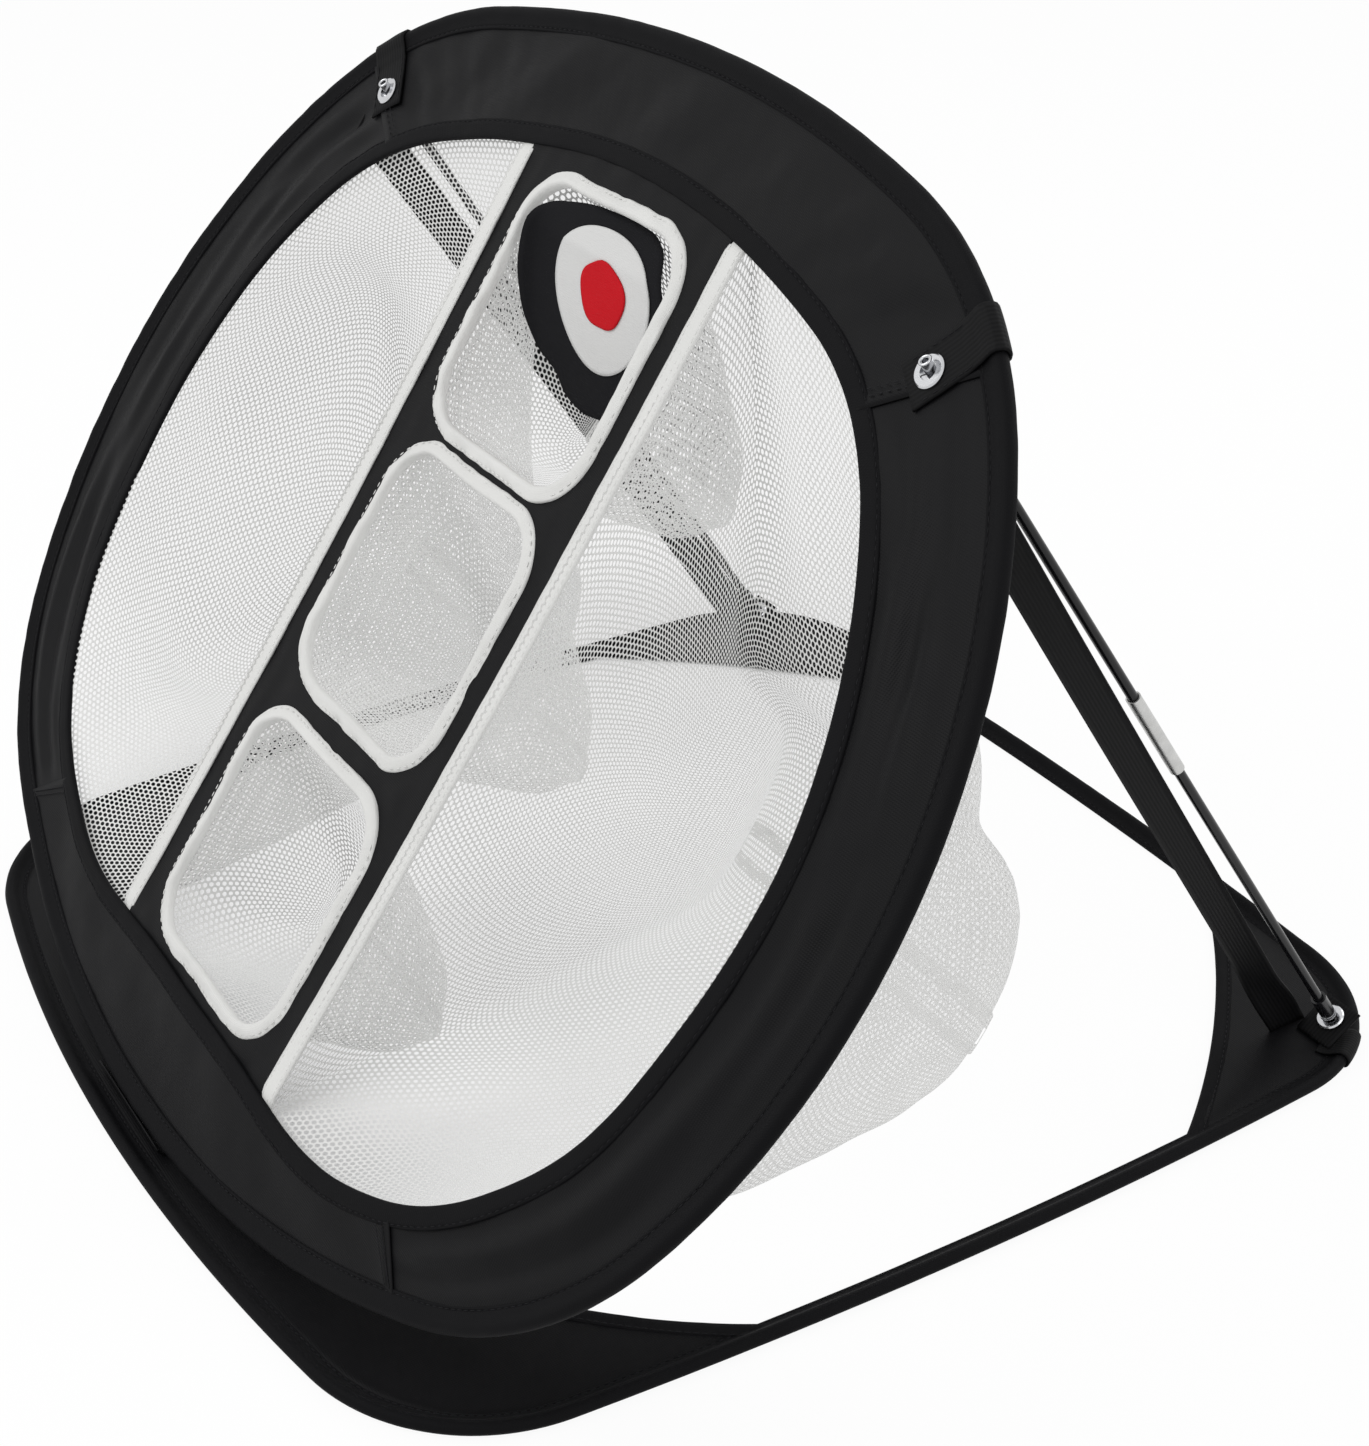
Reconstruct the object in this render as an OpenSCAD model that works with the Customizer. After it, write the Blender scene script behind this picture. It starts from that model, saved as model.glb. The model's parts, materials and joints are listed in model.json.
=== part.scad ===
// Pop-up golf chipping net: a leaning front hoop with three ball pockets and two big side
// nets, sewn to a hoop that lies on the ground, and propped open by two rods.
// X is to the right, Y to the back, Z up. The origin is on the ground, in the middle of the
// ground hoop.

/* [Front panel] */
// Width of the front panel over its hoop sleeve
panel_w = 730; // [600:5:900]
// Angle between the front panel and the ground
lean = 55; // [45:1:65]
// Height of the fold line above the ground
fold_z = 9; // [9:0.5:12]
// Height on the panel at which the net opening starts
opening_y = 36.5; // [32:0.5:45]
// Width of the net opening as a share of the panel width
opening_share = 0.81; // [0.78:0.005:0.82]
// Thickness of the woven cloth
cloth_t = 1; // [0.8:0.1:1.5]

/* [Hoops] */
// Width of the flat spring-steel strip in both hoops
spring_w = 4; // [3:0.1:4]
// Thickness of the spring strip
spring_t = 1.2; // [0.8:0.1:1.5]
// Outside diameter of the sleeve round the spring
sleeve_d = 7; // [7:0.5:8]
// Width of the sleeve's flat sewn edge
flange_w = 5; // [4:0.5:7]

/* [Centre column] */
// Width of the black column that carries the pockets
column_w = 172; // [165:1:185]
// Clear width of one window
window_w = 128; // [110:1:132]
// Clear height of one window
window_h = 124; // [110:1:126]
// Corner radius of a window's clear opening
window_r = 26; // [15:1:35]
// Width of the white rim round a window
rim_w = 8; // [6:0.5:8]
// Height of the rim in front of the column
rim_h = 5; // [3:0.5:8]
// Depth of a pocket net behind its window
pocket_depth = 96; // [60:1:110]
// Width of the white tape down each side of the column
tape_w = 11; // [8:0.5:14]

/* [Side nets] */
// Greatest depth of a side net behind the panel
side_net_depth = 190; // [120:1:200]
// Thickness that stands for the knitted net
net_t = 1.2; // [0.8:0.1:1.5]

/* [Ground frame] */
// Width of the ground hoop over its sleeve
base_w = 598; // [500:5:700]
// How far the ground hoop reaches in front of the fold line
base_front = 19.3; // [17:0.1:24]
// Width of the hems on the cloth panels
hem_w = 8; // [6:0.5:12]

/* [Props] */
// Diameter of the fibreglass rod
rod_d = 5; // [4:0.5:6]
// Diameter of the metal end caps
cap_d = 8; // [7.5:0.5:9]
// Length of an end cap
cap_l = 16; // [10:1:22]
// Outside diameter of the ferrule that joins the two rod sections
ferrule_d = 7; // [6.5:0.5:8]
// Length of the ferrule
ferrule_l = 54; // [40:1:70]
// Distance from the lower eyelet to the middle of the ferrule, as a share of the rod
ferrule_at = 0.52; // [0.4:0.01:0.6]
// Diameter of the pins at the rod ends
pin_d = 5; // [4.5:0.1:5]
// Outside diameter of an eyelet
eyelet_d = 14.4; // [13.5:0.1:16]
// Hole diameter of an eyelet
eyelet_hole = 8; // [8:0.1:8.5]
// Width of the webbing straps
strap_w = 20; // [15:1:22]
// Thickness of the webbing
strap_t = 1.2; // [1:0.1:1.5]

/* [Hidden] */

cloth = "#1d1d20";
binding = "#141416";
net_white = "#dcdcda";
tape_white = "#e6e6e2";
steel = "#8c8f94";
chrome = "#c9ccd0";
rod_black = "#161618";
target_red = "#c21823";

gap = 0.3;
right = 0;
left = 1;

// Each hoop is a chain of tangent arcs, from the front centre round to the back centre.
// A row is [radius as a share of the hoop's width, heading in degrees where the arc ends].
// The last arc runs to heading 180, and its radius closes the loop on the centre line.
front_loop = [[0.768, 26.7], [0.256, 67.9], [0.439, 130.3], [0.296, 166.5]];
opening_loop = [[0.78, 24.9], [0.28, 70.8], [0.453, 127.9], [0.267, 163.4]];
base_loop = [[1.87, 10.6], [0.164, 84.7], [5.08, 92.7], [0.151, 176]];
corner_arc = 3;

front_y = -sleeve_d / 2;
opening_w = panel_w * opening_share;
scale_w = panel_w / 730;
base_share = base_w / 598;

function sum_to(v, i) = i < 0 ? 0 : v[i] + sum_to(v, i - 1);
function headings(loop) = concat([0], [for (row = loop) row[1]], [180]);
function side_gains(loop, w) = [
  for (i = [0:len(loop) - 1])
    loop[i][0] * w * (sin(headings(loop)[i + 1]) - sin(headings(loop)[i]))
];
function closing_radius(loop, w) =
  sum_to(side_gains(loop, w), len(loop) - 1) / sin(headings(loop)[len(loop)]);
function radii(loop, w) = concat([for (row = loop) row[0] * w], [closing_radius(loop, w)]);
function arc_start(loop, w, y0, i) = i == 0 ? [0, y0] :
  let (r = radii(loop, w)[i - 1], a = headings(loop)[i - 1], b = headings(loop)[i])
    arc_start(loop, w, y0, i - 1) + r * [sin(b) - sin(a), cos(a) - cos(b)];
function arc_centre(loop, w, y0, i) =
  let (r = radii(loop, w)[i], a = headings(loop)[i])
    arc_start(loop, w, y0, i) + r * [-sin(a), cos(a)];

// A point on a loop at a heading of arc i, moved out from the loop by e
function loop_point(loop, w, y0, i, heading, e = 0) =
  arc_centre(loop, w, y0, i) + (radii(loop, w)[i] + e) * [sin(heading), -cos(heading)];

function half_loop(loop, w, y0, e) = [
  for (i = [0:len(loop)])
    let (a = headings(loop)[i], b = headings(loop)[i + 1], n = ceil((b - a) / 3))
      for (k = [0:n - 1]) loop_point(loop, w, y0, i, a + (b - a) * k / n, e)
];
function loop_points(loop, w, y0, e) =
  let (half = half_loop(loop, w, y0, e), top = loop_point(loop, w, y0, len(loop), 180, e))
    concat(half, [top], [for (k = [len(half) - 1:-1:1]) [-half[k][0], half[k][1]]]);

// Area inside a loop, moved out from it by e
module loop_area(loop, w, y0, e = 0) {
  polygon(loop_points(loop, w, y0, e));
}

// Springs, sleeves and binding are made of lengths that butt where the hoop's curve changes,
// each cut back by this much
butt = 0.02;

// Sweeps the child profile along arc i of a loop, between two headings
module sweep_arc(loop, w, y0, i, from, to) {
  r = radii(loop, w)[i];
  trim = butt / r * 180 / PI;
  translate(arc_centre(loop, w, y0, i))
    rotate([0, 0, from + trim - 90])
      rotate_extrude(angle = to - from - 2 * trim, $fn = max(96, ceil(r / 5)))
        translate([r, 0])
          children();
}

// Sweeps the child profile round a loop: the profile's x is outwards from the loop, its y is up
module sweep_loop(loop, w, y0) {
  h = headings(loop);
  last = len(loop);
  sweep_arc(loop, w, y0, 0, -h[1], h[1])
    children();
  sweep_arc(loop, w, y0, last, h[last], 360 - h[last])
    children();
  for (side = [right, left], i = [1:last - 1])
    mirror([side, 0, 0])
      sweep_arc(loop, w, y0, i, h[i], h[i + 1])
        children();
}

// Front edge of the ground hoop, and the fold line behind it
hoop_y = -loop_point(base_loop, base_w, 0, len(base_loop), 180)[1] / 2;
fold_y = hoop_y + base_front;

// Puts a flat-built piece of the front panel at its lean: x across, y up the panel, z to the front
module on_panel() {
  translate([0, fold_y, fold_z])
    rotate([lean, 0, 0])
      children();
}

module on_side(side) {
  mirror([side, 0, 0])
    children();
}

// The same turn as on_panel, for a point
function panel_point(p) = [
  p[0],
  fold_y + p[1] * cos(lean) - p[2] * sin(lean),
  fold_z + p[1] * sin(lean) + p[2] * cos(lean)
];

// Eyelets: on the upper corner arc of the panel, and on the back corner arc of the ground hoop
top_eye_heading = 143.6;
top_eye_inset = 32;
top_eye_xy = loop_point(front_loop, panel_w, front_y, corner_arc, top_eye_heading, -top_eye_inset);
top_eye = panel_point([top_eye_xy[0], top_eye_xy[1], 0]);
base_eye_heading = 126;
base_eye_inset = 15.3;
base_eye_z = 12.5;
base_eye_xy = loop_point(base_loop, base_w, hoop_y, corner_arc, base_eye_heading, -base_eye_inset);
base_eye = [base_eye_xy[0], base_eye_xy[1], base_eye_z];

rod_run = top_eye - base_eye;
rod_l = norm(rod_run);
rod_tilt = acos(rod_run[2] / rod_l);
rod_turn = atan2(rod_run[1], rod_run[0]);

// Builds along the rod: z from the lower eyelet's centre towards the upper one
module on_rod(side) {
  on_side(side)
    translate(base_eye)
      rotate([0, rod_tilt, rod_turn])
        children();
}

// ---- hoops ----

module spring_profile(z) {
  translate([-sleeve_d / 2, z])
    square([spring_w, spring_t], center = true);
}

// Tube round the spring with a flat edge that is sewn to the cloth
module sleeve_profile(z, flange_z) {
  difference() {
    union() {
      translate([-sleeve_d / 2, z])
        circle(d = sleeve_d, $fn = 32);
      translate([-sleeve_d - flange_w, flange_z])
        square([flange_w + sleeve_d / 3, cloth_t]);
    }
    translate([-sleeve_d / 2, z])
      circle(d = norm([spring_w, spring_t]) + gap, $fn = 24);
  }
}

module front_hoop_spring() {
  color(steel)
    on_panel()
      sweep_loop(front_loop, panel_w, front_y)
        spring_profile(0);
}

module front_hoop_sleeve() {
  color(binding)
    on_panel()
      sweep_loop(front_loop, panel_w, front_y)
        sleeve_profile(0, cloth_t / 2 + gap);
}

module base_hoop_spring() {
  color(steel)
    sweep_loop(base_loop, base_w, hoop_y)
      spring_profile(sleeve_d / 2);
}

module base_hoop_sleeve() {
  color(binding)
    sweep_loop(base_loop, base_w, hoop_y)
      sleeve_profile(sleeve_d / 2, 0);
}

// ---- cloth band of the front panel, in four sewn pieces ----

// Seam lines run out through the corners of the opening
seam_low = [216, 61] * scale_w;
seam_low_turn = -46;
seam_high = [222, 478] * scale_w;
seam_high_turn = 38;
seam_reach = panel_w;

function turned(p, a, l) = p + l * [cos(a), sin(a)];

// Everything to one side of a pair of mirrored seam lines, drawn out in front of the seams
module seam_wedge(p, a, spread) {
  far = turned(p, a, seam_reach);
  near = turned(p, a, -p[0] / cos(a));
  polygon([near, far, [far[0], spread], [-far[0], spread], [-far[0], far[1]]]);
}

module band_area() {
  difference() {
    loop_area(front_loop, panel_w, front_y, -sleeve_d - gap);
    loop_area(opening_loop, opening_w, opening_y, cloth_t + gap);
    for (side = [right, left])
      mirror([side, 0])
        translate(top_eye_xy)
          circle(d = barrel_d + 2 * gap, $fn = 32);
  }
}

module band_sheet() {
  color(cloth)
    on_panel()
      translate([0, 0, -cloth_t / 2])
        linear_extrude(cloth_t)
          children();
}

module band_top() {
  band_sheet()
    intersection() {
      band_area();
      seam_wedge(seam_high + [0, gap / 2], seam_high_turn, 2 * panel_w);
    }
}

module band_bottom() {
  band_sheet()
    intersection() {
      band_area();
      seam_wedge(seam_low - [0, gap / 2], seam_low_turn, -2 * panel_w);
    }
}

module band_side(side) {
  band_sheet()
    mirror([side, 0])
      intersection() {
        band_area();
        translate([0, -panel_w])
          square([panel_w, 3 * panel_w]);
        difference() {
          square([2 * panel_w, 3 * panel_w], center = true);
          seam_wedge(seam_high - [0, gap / 2], seam_high_turn, 2 * panel_w);
          seam_wedge(seam_low + [0, gap / 2], seam_low_turn, -2 * panel_w);
        }
      }
}

// Folded tape over the inner edge of the band
binding_w = 10;

module fold_profile(w, t, inside) {
  difference() {
    translate([0, -t - inside])
      square([w, 2 * (t + inside)]);
    translate([t, -inside])
      square([w, 2 * inside]);
  }
}

module opening_binding() {
  color(binding)
    on_panel()
      sweep_loop(opening_loop, opening_w, opening_y)
        fold_profile(binding_w, cloth_t, cloth_t / 2 + gap);
}

// ---- centre column with its windows and pockets ----

window_y = [426.5, 285, 136] * scale_w;
rim_t = 1.2;
tape_t = 1.6;

module rounded_area(w, h, r) {
  square([w - 2 * r, h], center = true);
  square([w, h - 2 * r], center = true);
  for (x = [-1, 1], y = [-1, 1])
    translate([x * (w / 2 - r), y * (h / 2 - r)])
      circle(r = r, $fn = 48);
}

// Area of the opening between two distances from the centre line
module opening_strip(x0, x1, e) {
  intersection() {
    loop_area(opening_loop, opening_w, opening_y, -e);
    translate([x0, 0])
      square([x1 - x0, panel_w]);
  }
}

module centre_column() {
  color(cloth)
    on_panel()
      translate([0, 0, -cloth_t / 2])
        linear_extrude(cloth_t)
          difference() {
            opening_strip(-column_w / 2, column_w / 2, gap);
            for (y = window_y)
              translate([0, y])
                rounded_area(window_w + 2 * (rim_t + gap), window_h + 2 * (rim_t + gap),
                             window_r + rim_t + gap);
          }
}

module column_tape(side) {
  color(tape_white)
    on_side(side)
      on_panel()
        translate([0, 0, -tape_t / 2])
          linear_extrude(tape_t)
            opening_strip(column_w / 2 + gap, column_w / 2 + gap + tape_w, gap);
}

// A raised bead in front of the column and a flat leg behind it, joined through the window
module rim_profile() {
  front_z = cloth_t / 2 + gap;
  translate([0, front_z])
    square([rim_w, rim_t]);
  intersection() {
    translate([rim_w / 2, front_z + rim_h - rim_w / 2])
      circle(d = rim_w, $fn = 32);
    translate([0, front_z])
      square([rim_w, rim_h]);
  }
  translate([0, -front_z - rim_t])
    square([rim_t, 2 * front_z + 2 * rim_t]);
  translate([0, -front_z - rim_t])
    square([rim_w, rim_t]);
}

// Sweeps the child profile round a rounded rectangle
module sweep_window(w, h, r) {
  for (side = [right, left])
    mirror([side, 0, 0]) {
      for (up = [0, 1])
        mirror([0, up, 0])
          translate([w / 2 - r, h / 2 - r, 0])
            rotate_extrude(angle = 90, $fn = 96)
              translate([r, 0])
                children();
      translate([w / 2, h / 2 - r, 0])
        rotate([90, 0, 0])
          linear_extrude(h - 2 * r)
            children();
    }
  for (up = [0, 1])
    mirror([0, up, 0])
      translate([-w / 2 + r, h / 2, 0])
        rotate([90, 0, 90])
          linear_extrude(w - 2 * r)
            children();
}

module window_rim(i) {
  color(tape_white)
    on_panel()
      translate([0, window_y[i], 0])
        sweep_window(window_w, window_h, window_r)
          rim_profile();
}

// Side view of a hanging pocket: [share of the half height, share of the depth]
pocket_side = [[1, 0], [0.55, 0.48], [0, 0.9], [-0.55, 1], [-0.9, 0.84], [-1, 0]];
pocket_z = -(cloth_t / 2 + gap + rim_t + gap);
pocket_edge = 4;

module pocket_solid(inset) {
  w = window_w + 2 * (pocket_edge - inset);
  h = window_h + 2 * (pocket_edge - inset);
  d = pocket_depth - inset;
  intersection() {
    translate([0, 0, -2 * pocket_depth])
      linear_extrude(4 * pocket_depth)
        rounded_area(w, h, window_r);
    translate([-w, 0, 0])
      rotate([90, 0, 90])
        linear_extrude(2 * w)
          polygon(concat([for (p = pocket_side) [p[0] * h / 2, -p[1] * d]],
                         inset > 0 ? [[-h / 2, inset], [h / 2, inset]] : []));
  }
}

module pocket_net(i) {
  color(net_white)
    on_panel()
      translate([0, window_y[i], pocket_z])
        difference() {
          pocket_solid(0);
          pocket_solid(net_t);
        }
}

// ---- side nets ----

// Side view of a hanging side net: [height on the panel, share of the depth]
side_net_side = [[510, 0], [342, 0.62], [329, 0.87], [304, 0.95], [179, 1], [161, 0.97],
                 [149, 0.79], [34, 0]];
side_net_x = column_w / 2 + tape_w + 2 * gap;
side_net_mid = 270 * scale_w;
side_net_half = 300;

module side_net_solid(inset) {
  intersection() {
    translate([0, 0, -2 * side_net_depth])
      linear_extrude(4 * side_net_depth)
        opening_strip(side_net_x + inset, panel_w, gap + inset);
    rotate([90, 0, 90])
      linear_extrude(panel_w)
        polygon(concat(
          [for (p = side_net_side)
            [side_net_mid + (p[0] * scale_w - side_net_mid) * (1 - inset / side_net_half),
             cloth_t / 2 - p[1] * (side_net_depth - inset)]],
          inset > 0
            ? [for (i = [len(side_net_side) - 1, 0]) [side_net_side[i][0] * scale_w, 5 * net_t]]
            : []));
  }
}

module side_net(side) {
  color(net_white)
    on_side(side)
      on_panel()
        difference() {
          side_net_solid(0);
          side_net_solid(net_t);
        }
}

// ---- target that hangs in the top pocket ----

target_lean = 23;
target_t = 0.8;
layer_z = 1.1;
ring_d = 72;
ring_mid = [2, 1];
centre_d = 34;
centre_mid = [2, 3];
target_drop = 44.7;
hang_depth = 5.5;
pocket_roof = (window_h / 2 + pocket_edge - net_t)
              * (1 - (1 - pocket_side[1][0]) / pocket_side[1][1] * hang_depth / (pocket_depth - net_t));
target_hang = [0, window_y[0] + pocket_roof - 2 * gap, pocket_z - hang_depth];
target_outline = [[-36, target_drop], [36, target_drop], [55, 20], [58, -12], [45, -42], [16, -55],
                  [-20, -53], [-46, -36], [-57, 2], [-52, 28]];

// The target's own plane: x across, y up, z to the front, origin at the middle of the rings
module on_target() {
  on_panel()
    translate(target_hang)
      rotate([target_lean, 0, 0])
        translate([0, -target_drop, 0])
          children();
}

module target_cloth() {
  color(cloth)
    on_target()
      linear_extrude(target_t)
        polygon(target_outline);
}

module target_white_ring() {
  color(tape_white)
    on_target()
      translate([0, 0, layer_z])
        linear_extrude(target_t)
          difference() {
            translate(ring_mid)
              circle(d = ring_d, $fn = 96);
            translate(centre_mid)
              circle(d = centre_d, $fn = 64);
          }
}

module target_centre() {
  color(target_red)
    on_target()
      translate([centre_mid[0], centre_mid[1], layer_z])
        cylinder(d = centre_d - 2 * gap, h = target_t, $fn = 64);
}

// ---- eyelets and their tabs ----

barrel_d = eyelet_hole + 1;
eyelet_t = 1.1;
eyelet_bevel = 0.9;

// Two flanges on a barrel, seen in section from the axis; grip is the height between flanges
module eyelet(grip) {
  rotate_extrude($fn = 64)
    difference() {
      translate([eyelet_hole / 2, -eyelet_t - grip / 2])
        square([(eyelet_d - eyelet_hole) / 2, grip + 2 * eyelet_t]);
      translate([barrel_d / 2, -grip / 2])
        square([eyelet_d, grip]);
      translate([eyelet_d / 2, grip / 2 + eyelet_t])
        rotate([0, 0, 45])
          square(eyelet_bevel, center = true);
    }
}

tab_w = 24;
tab_z = cloth_t / 2 + gap;
tab_slack = 0.4;
tab_past_eyelet = 4;
tab_step = sleeve_d + flange_w + tab_slack;

// A webbing tab: a plate round the eyelet, stepped over the sewn edge and wrapped round the sleeve
module top_tab(side) {
  arc = radii(front_loop, panel_w)[corner_arc];
  reach = top_eye_inset + eyelet_d / 2 + tab_past_eyelet;
  over_z = tab_z + cloth_t + gap;
  wrap_r = sleeve_d / 2 + gap + tab_slack;
  color(cloth)
    on_side(side)
      on_panel()
        translate(loop_point(front_loop, panel_w, front_y, corner_arc, top_eye_heading))
          rotate([0, 0, top_eye_heading - 90])
            difference() {
              union() {
                translate([-reach, -tab_w / 2, tab_z])
                  cube([reach - tab_step - gap, tab_w, strap_t]);
                translate([-tab_step - gap - strap_t, -tab_w / 2, tab_z])
                  cube([strap_t, tab_w, over_z - tab_z + strap_t]);
                translate([-tab_step - gap - strap_t, -tab_w / 2, over_z])
                  cube([tab_step + strap_t - sleeve_d / 2, tab_w, strap_t]);
                translate([-sleeve_d / 2, tab_w / 2, 0])
                  rotate([90, 0, 0])
                    cylinder(r = wrap_r + strap_t, h = tab_w, $fn = 48);
              }
              translate([-sleeve_d / 2, tab_w, 0])
                rotate([90, 0, 0])
                  cylinder(r = wrap_r, h = 2 * tab_w, $fn = 48);
              translate([-sleeve_d - flange_w - gap, -tab_w, -over_z])
                cube([sleeve_d / 2 + flange_w + gap, 2 * tab_w, 2 * over_z]);
              translate([-top_eye_inset, 0, 0])
                cylinder(d = barrel_d + 2 * gap, h = 2 * tab_w, $fn = 32);
            }
}

module top_eyelet(side) {
  grip = cloth_t + gap + strap_t + 2 * gap;
  mid_z = (tab_z + strap_t - cloth_t / 2) / 2;
  color(chrome)
    on_side(side)
      on_panel()
        translate([top_eye_xy[0], top_eye_xy[1], mid_z])
          eyelet(grip);
}

// The corner tab is webbing folded under the eyelet, so its upper leaf stands square to the rod
base_tab_w = 22;
leaf_down = 13;
leaf_up = 10;
floor_reach = 10;
panel_z = cloth_t + gap;
tab_floor = panel_z + cloth_t + gap;

module base_tab(side) {
  rise = atan2(rod_run[2], -rod_run[1]);
  leaf = [sin(rise), cos(rise)];
  face = strap_t / 2 * [-leaf[1], leaf[0]];
  eye = [base_eye[1], base_eye[2]];
  fold = eye - leaf_down * leaf;
  end = eye + leaf_up * leaf;
  floor_end = eye[0] + floor_reach;
  color(cloth)
    on_side(side) {
      difference() {
        translate([base_eye[0] - base_tab_w / 2, 0, 0])
          rotate([90, 0, 90])
            linear_extrude(base_tab_w)
              polygon([
                [fold[0] - strap_t / 2, tab_floor], fold + face, end + face, end - face,
                [fold[0] + strap_t / 2, fold[1]], [fold[0] + strap_t / 2, tab_floor]
              ]);
        translate(base_eye)
          rotate([0, rod_tilt, rod_turn])
            cylinder(d = barrel_d + 2 * gap, h = 4 * strap_t, center = true, $fn = 32);
      }
      translate([0, 0, tab_floor])
        linear_extrude(strap_t)
          intersection() {
            ground_area(sleeve_d + gap);
            translate([base_eye[0] - base_tab_w / 2, fold[0] - strap_t / 2])
              square([base_tab_w, floor_end - fold[0]]);
          }
    }
}

module base_eyelet(side) {
  color(chrome)
    on_rod(side)
      eyelet(strap_t + 4 * gap);
}

// ---- ground cloth ----

// The apron's back edge is an arc from side to side of the ground hoop
apron_r = 328 * base_share;
apron_y = fold_y + 24 * base_share + apron_r;
// A corner panel's inner edge is a flat arc across the corner
corner_r = 670;
corner_mid = [212, 528] * base_share + [0, fold_y];
corner_turn = 38;
corner_c = corner_mid - corner_r * [sin(corner_turn), cos(corner_turn)];

module ground_sheet(z, t) {
  translate([0, 0, z])
    linear_extrude(t)
      children();
}

module ground_area(e) {
  loop_area(base_loop, base_w, hoop_y, -e);
}

module apron_area(e, r_step) {
  difference() {
    intersection() {
      ground_area(e);
      translate([-base_w, -1.5 * base_w])
        square([2 * base_w, 1.35 * base_w]);
    }
    translate([0, apron_y])
      circle(r = apron_r + r_step, $fn = 240);
  }
}

module front_apron() {
  color(cloth)
    ground_sheet(panel_z, cloth_t)
      apron_area(sleeve_d + gap, cloth_t + gap);
}

// A folded hem: a turn down over the cloth's edge (first child) and a leaf on top (second)
module hem_sheets(under_z, over_z) {
  ground_sheet(under_z, over_z - under_z + cloth_t)
    children(0);
  ground_sheet(over_z, cloth_t)
    children(1);
}

hem_end = sleeve_d + gap;

module apron_hem() {
  color(binding)
    hem_sheets(panel_z, panel_z + cloth_t + gap) {
      intersection() {
        apron_area(hem_end, 0);
        translate([0, apron_y])
          circle(r = apron_r + cloth_t, $fn = 240);
      }
      intersection() {
        apron_area(hem_end, 0);
        translate([0, apron_y])
          circle(r = apron_r + hem_w, $fn = 240);
      }
    }
}

module corner_area(e, r_step) {
  difference() {
    intersection() {
      ground_area(e);
      square([base_w, base_w]);
    }
    translate(corner_c)
      circle(r = corner_r + r_step, $fn = 480);
  }
}

module corner_panel(side) {
  color(cloth)
    on_side(side)
      ground_sheet(panel_z, cloth_t)
        corner_area(sleeve_d + gap, cloth_t + gap);
}

module corner_hem(side) {
  color(binding)
    on_side(side)
      hem_sheets(panel_z, panel_z + cloth_t + gap) {
        intersection() {
          corner_area(hem_end, 0);
          translate(corner_c)
            circle(r = corner_r + cloth_t, $fn = 480);
        }
        intersection() {
          corner_area(hem_end, 0);
          translate(corner_c)
            circle(r = corner_r + hem_w, $fn = 480);
        }
      }
}

// Cloth strip sewn on the apron, with a lip that cradles the panel's hoop along the fold
gusset_l = 80;
cradle_r = sleeve_d / 2 + gap;
cradle_start = 190;
cradle_end = 285;

module cradle_profile() {
  translate([0, fold_z])
    rotate([0, 0, cradle_start])
      difference() {
        circle(r = cradle_r + cloth_t, $fn = 48);
        circle(r = cradle_r, $fn = 48);
        rotate([0, 0, cradle_end - cradle_start])
          translate([-2 * sleeve_d, 0])
            square([4 * sleeve_d, 2 * sleeve_d]);
        translate([-2 * sleeve_d, -2 * sleeve_d])
          square([4 * sleeve_d, 2 * sleeve_d]);
      }
}

module fold_gusset() {
  color(cloth)
    translate([-gusset_l / 2, fold_y, 0])
      rotate([90, 0, 90])
        linear_extrude(gusset_l) {
          cradle_profile();
          translate([-cradle_r, tab_floor])
            square([2 * cradle_r, cloth_t]);
          translate([-cloth_t, tab_floor])
            square([cloth_t, fold_z - cradle_r - cloth_t / 2 - tab_floor]);
        }
}

// ---- straps and rods ----

strap_offset = 16;
strap_x = (top_eye[0] + base_eye[0]) / 2;

// Webbing from the back of the panel to the ground corner, flat beside the rod
module strap(side) {
  run = [rod_run[1], rod_run[2]] / norm([rod_run[1], rod_run[2]]);
  across = [run[1], -run[0]];
  foot = [base_eye[1], base_eye[2]] - strap_offset * across;
  normal = [sin(lean), -cos(lean)];
  panel_d = normal * [fold_y, fold_z] + cloth_t / 2 + gap;
  edge = [for (s = [-strap_w / 2, strap_w / 2]) foot + s * across];
  low = [for (p = edge) p + (tab_floor - p[1]) / run[1] * run];
  high = [for (p = edge) p + (panel_d - normal * p) / (normal * run) * run];
  color(cloth)
    on_side(side)
      translate([strap_x - strap_t / 2, 0, 0])
        rotate([90, 0, 90])
          linear_extrude(strap_t)
            polygon([low[0], low[1], high[1], high[0]]);
}

foot_start = 5;
pin_down = 5;
pin_up = 7.2;
pin_bore = pin_d - 2;
pin_bore_l = 4;
collar_t = 1.6;
collar_d = cap_d + 0.8;
cup_floor = 4;
lip_d = 1.2;
joint_z = ferrule_at * rod_l;

// A capped rod end: pin, shoulder ring and cup; z = 0 at the eyelet, growing into the rod
module rod_end(pin_out) {
  difference() {
    union() {
      translate([0, 0, -pin_out])
        cylinder(d = pin_d, h = pin_out + foot_start, $fn = 32);
      translate([0, 0, foot_start])
        cylinder(d = collar_d, h = collar_t, $fn = 48);
      translate([0, 0, foot_start])
        cylinder(d = cap_d, h = cap_l, $fn = 48);
    }
    translate([0, 0, foot_start + cup_floor])
      cylinder(d = rod_d + 2 * gap, h = cap_l, $fn = 32);
    translate([0, 0, -pin_out - 1])
      cylinder(d = pin_bore, h = pin_bore_l + 1, $fn = 32);
  }
}

module rod_foot_cap(side) {
  color(chrome)
    on_rod(side)
      rod_end(pin_down);
}

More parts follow.
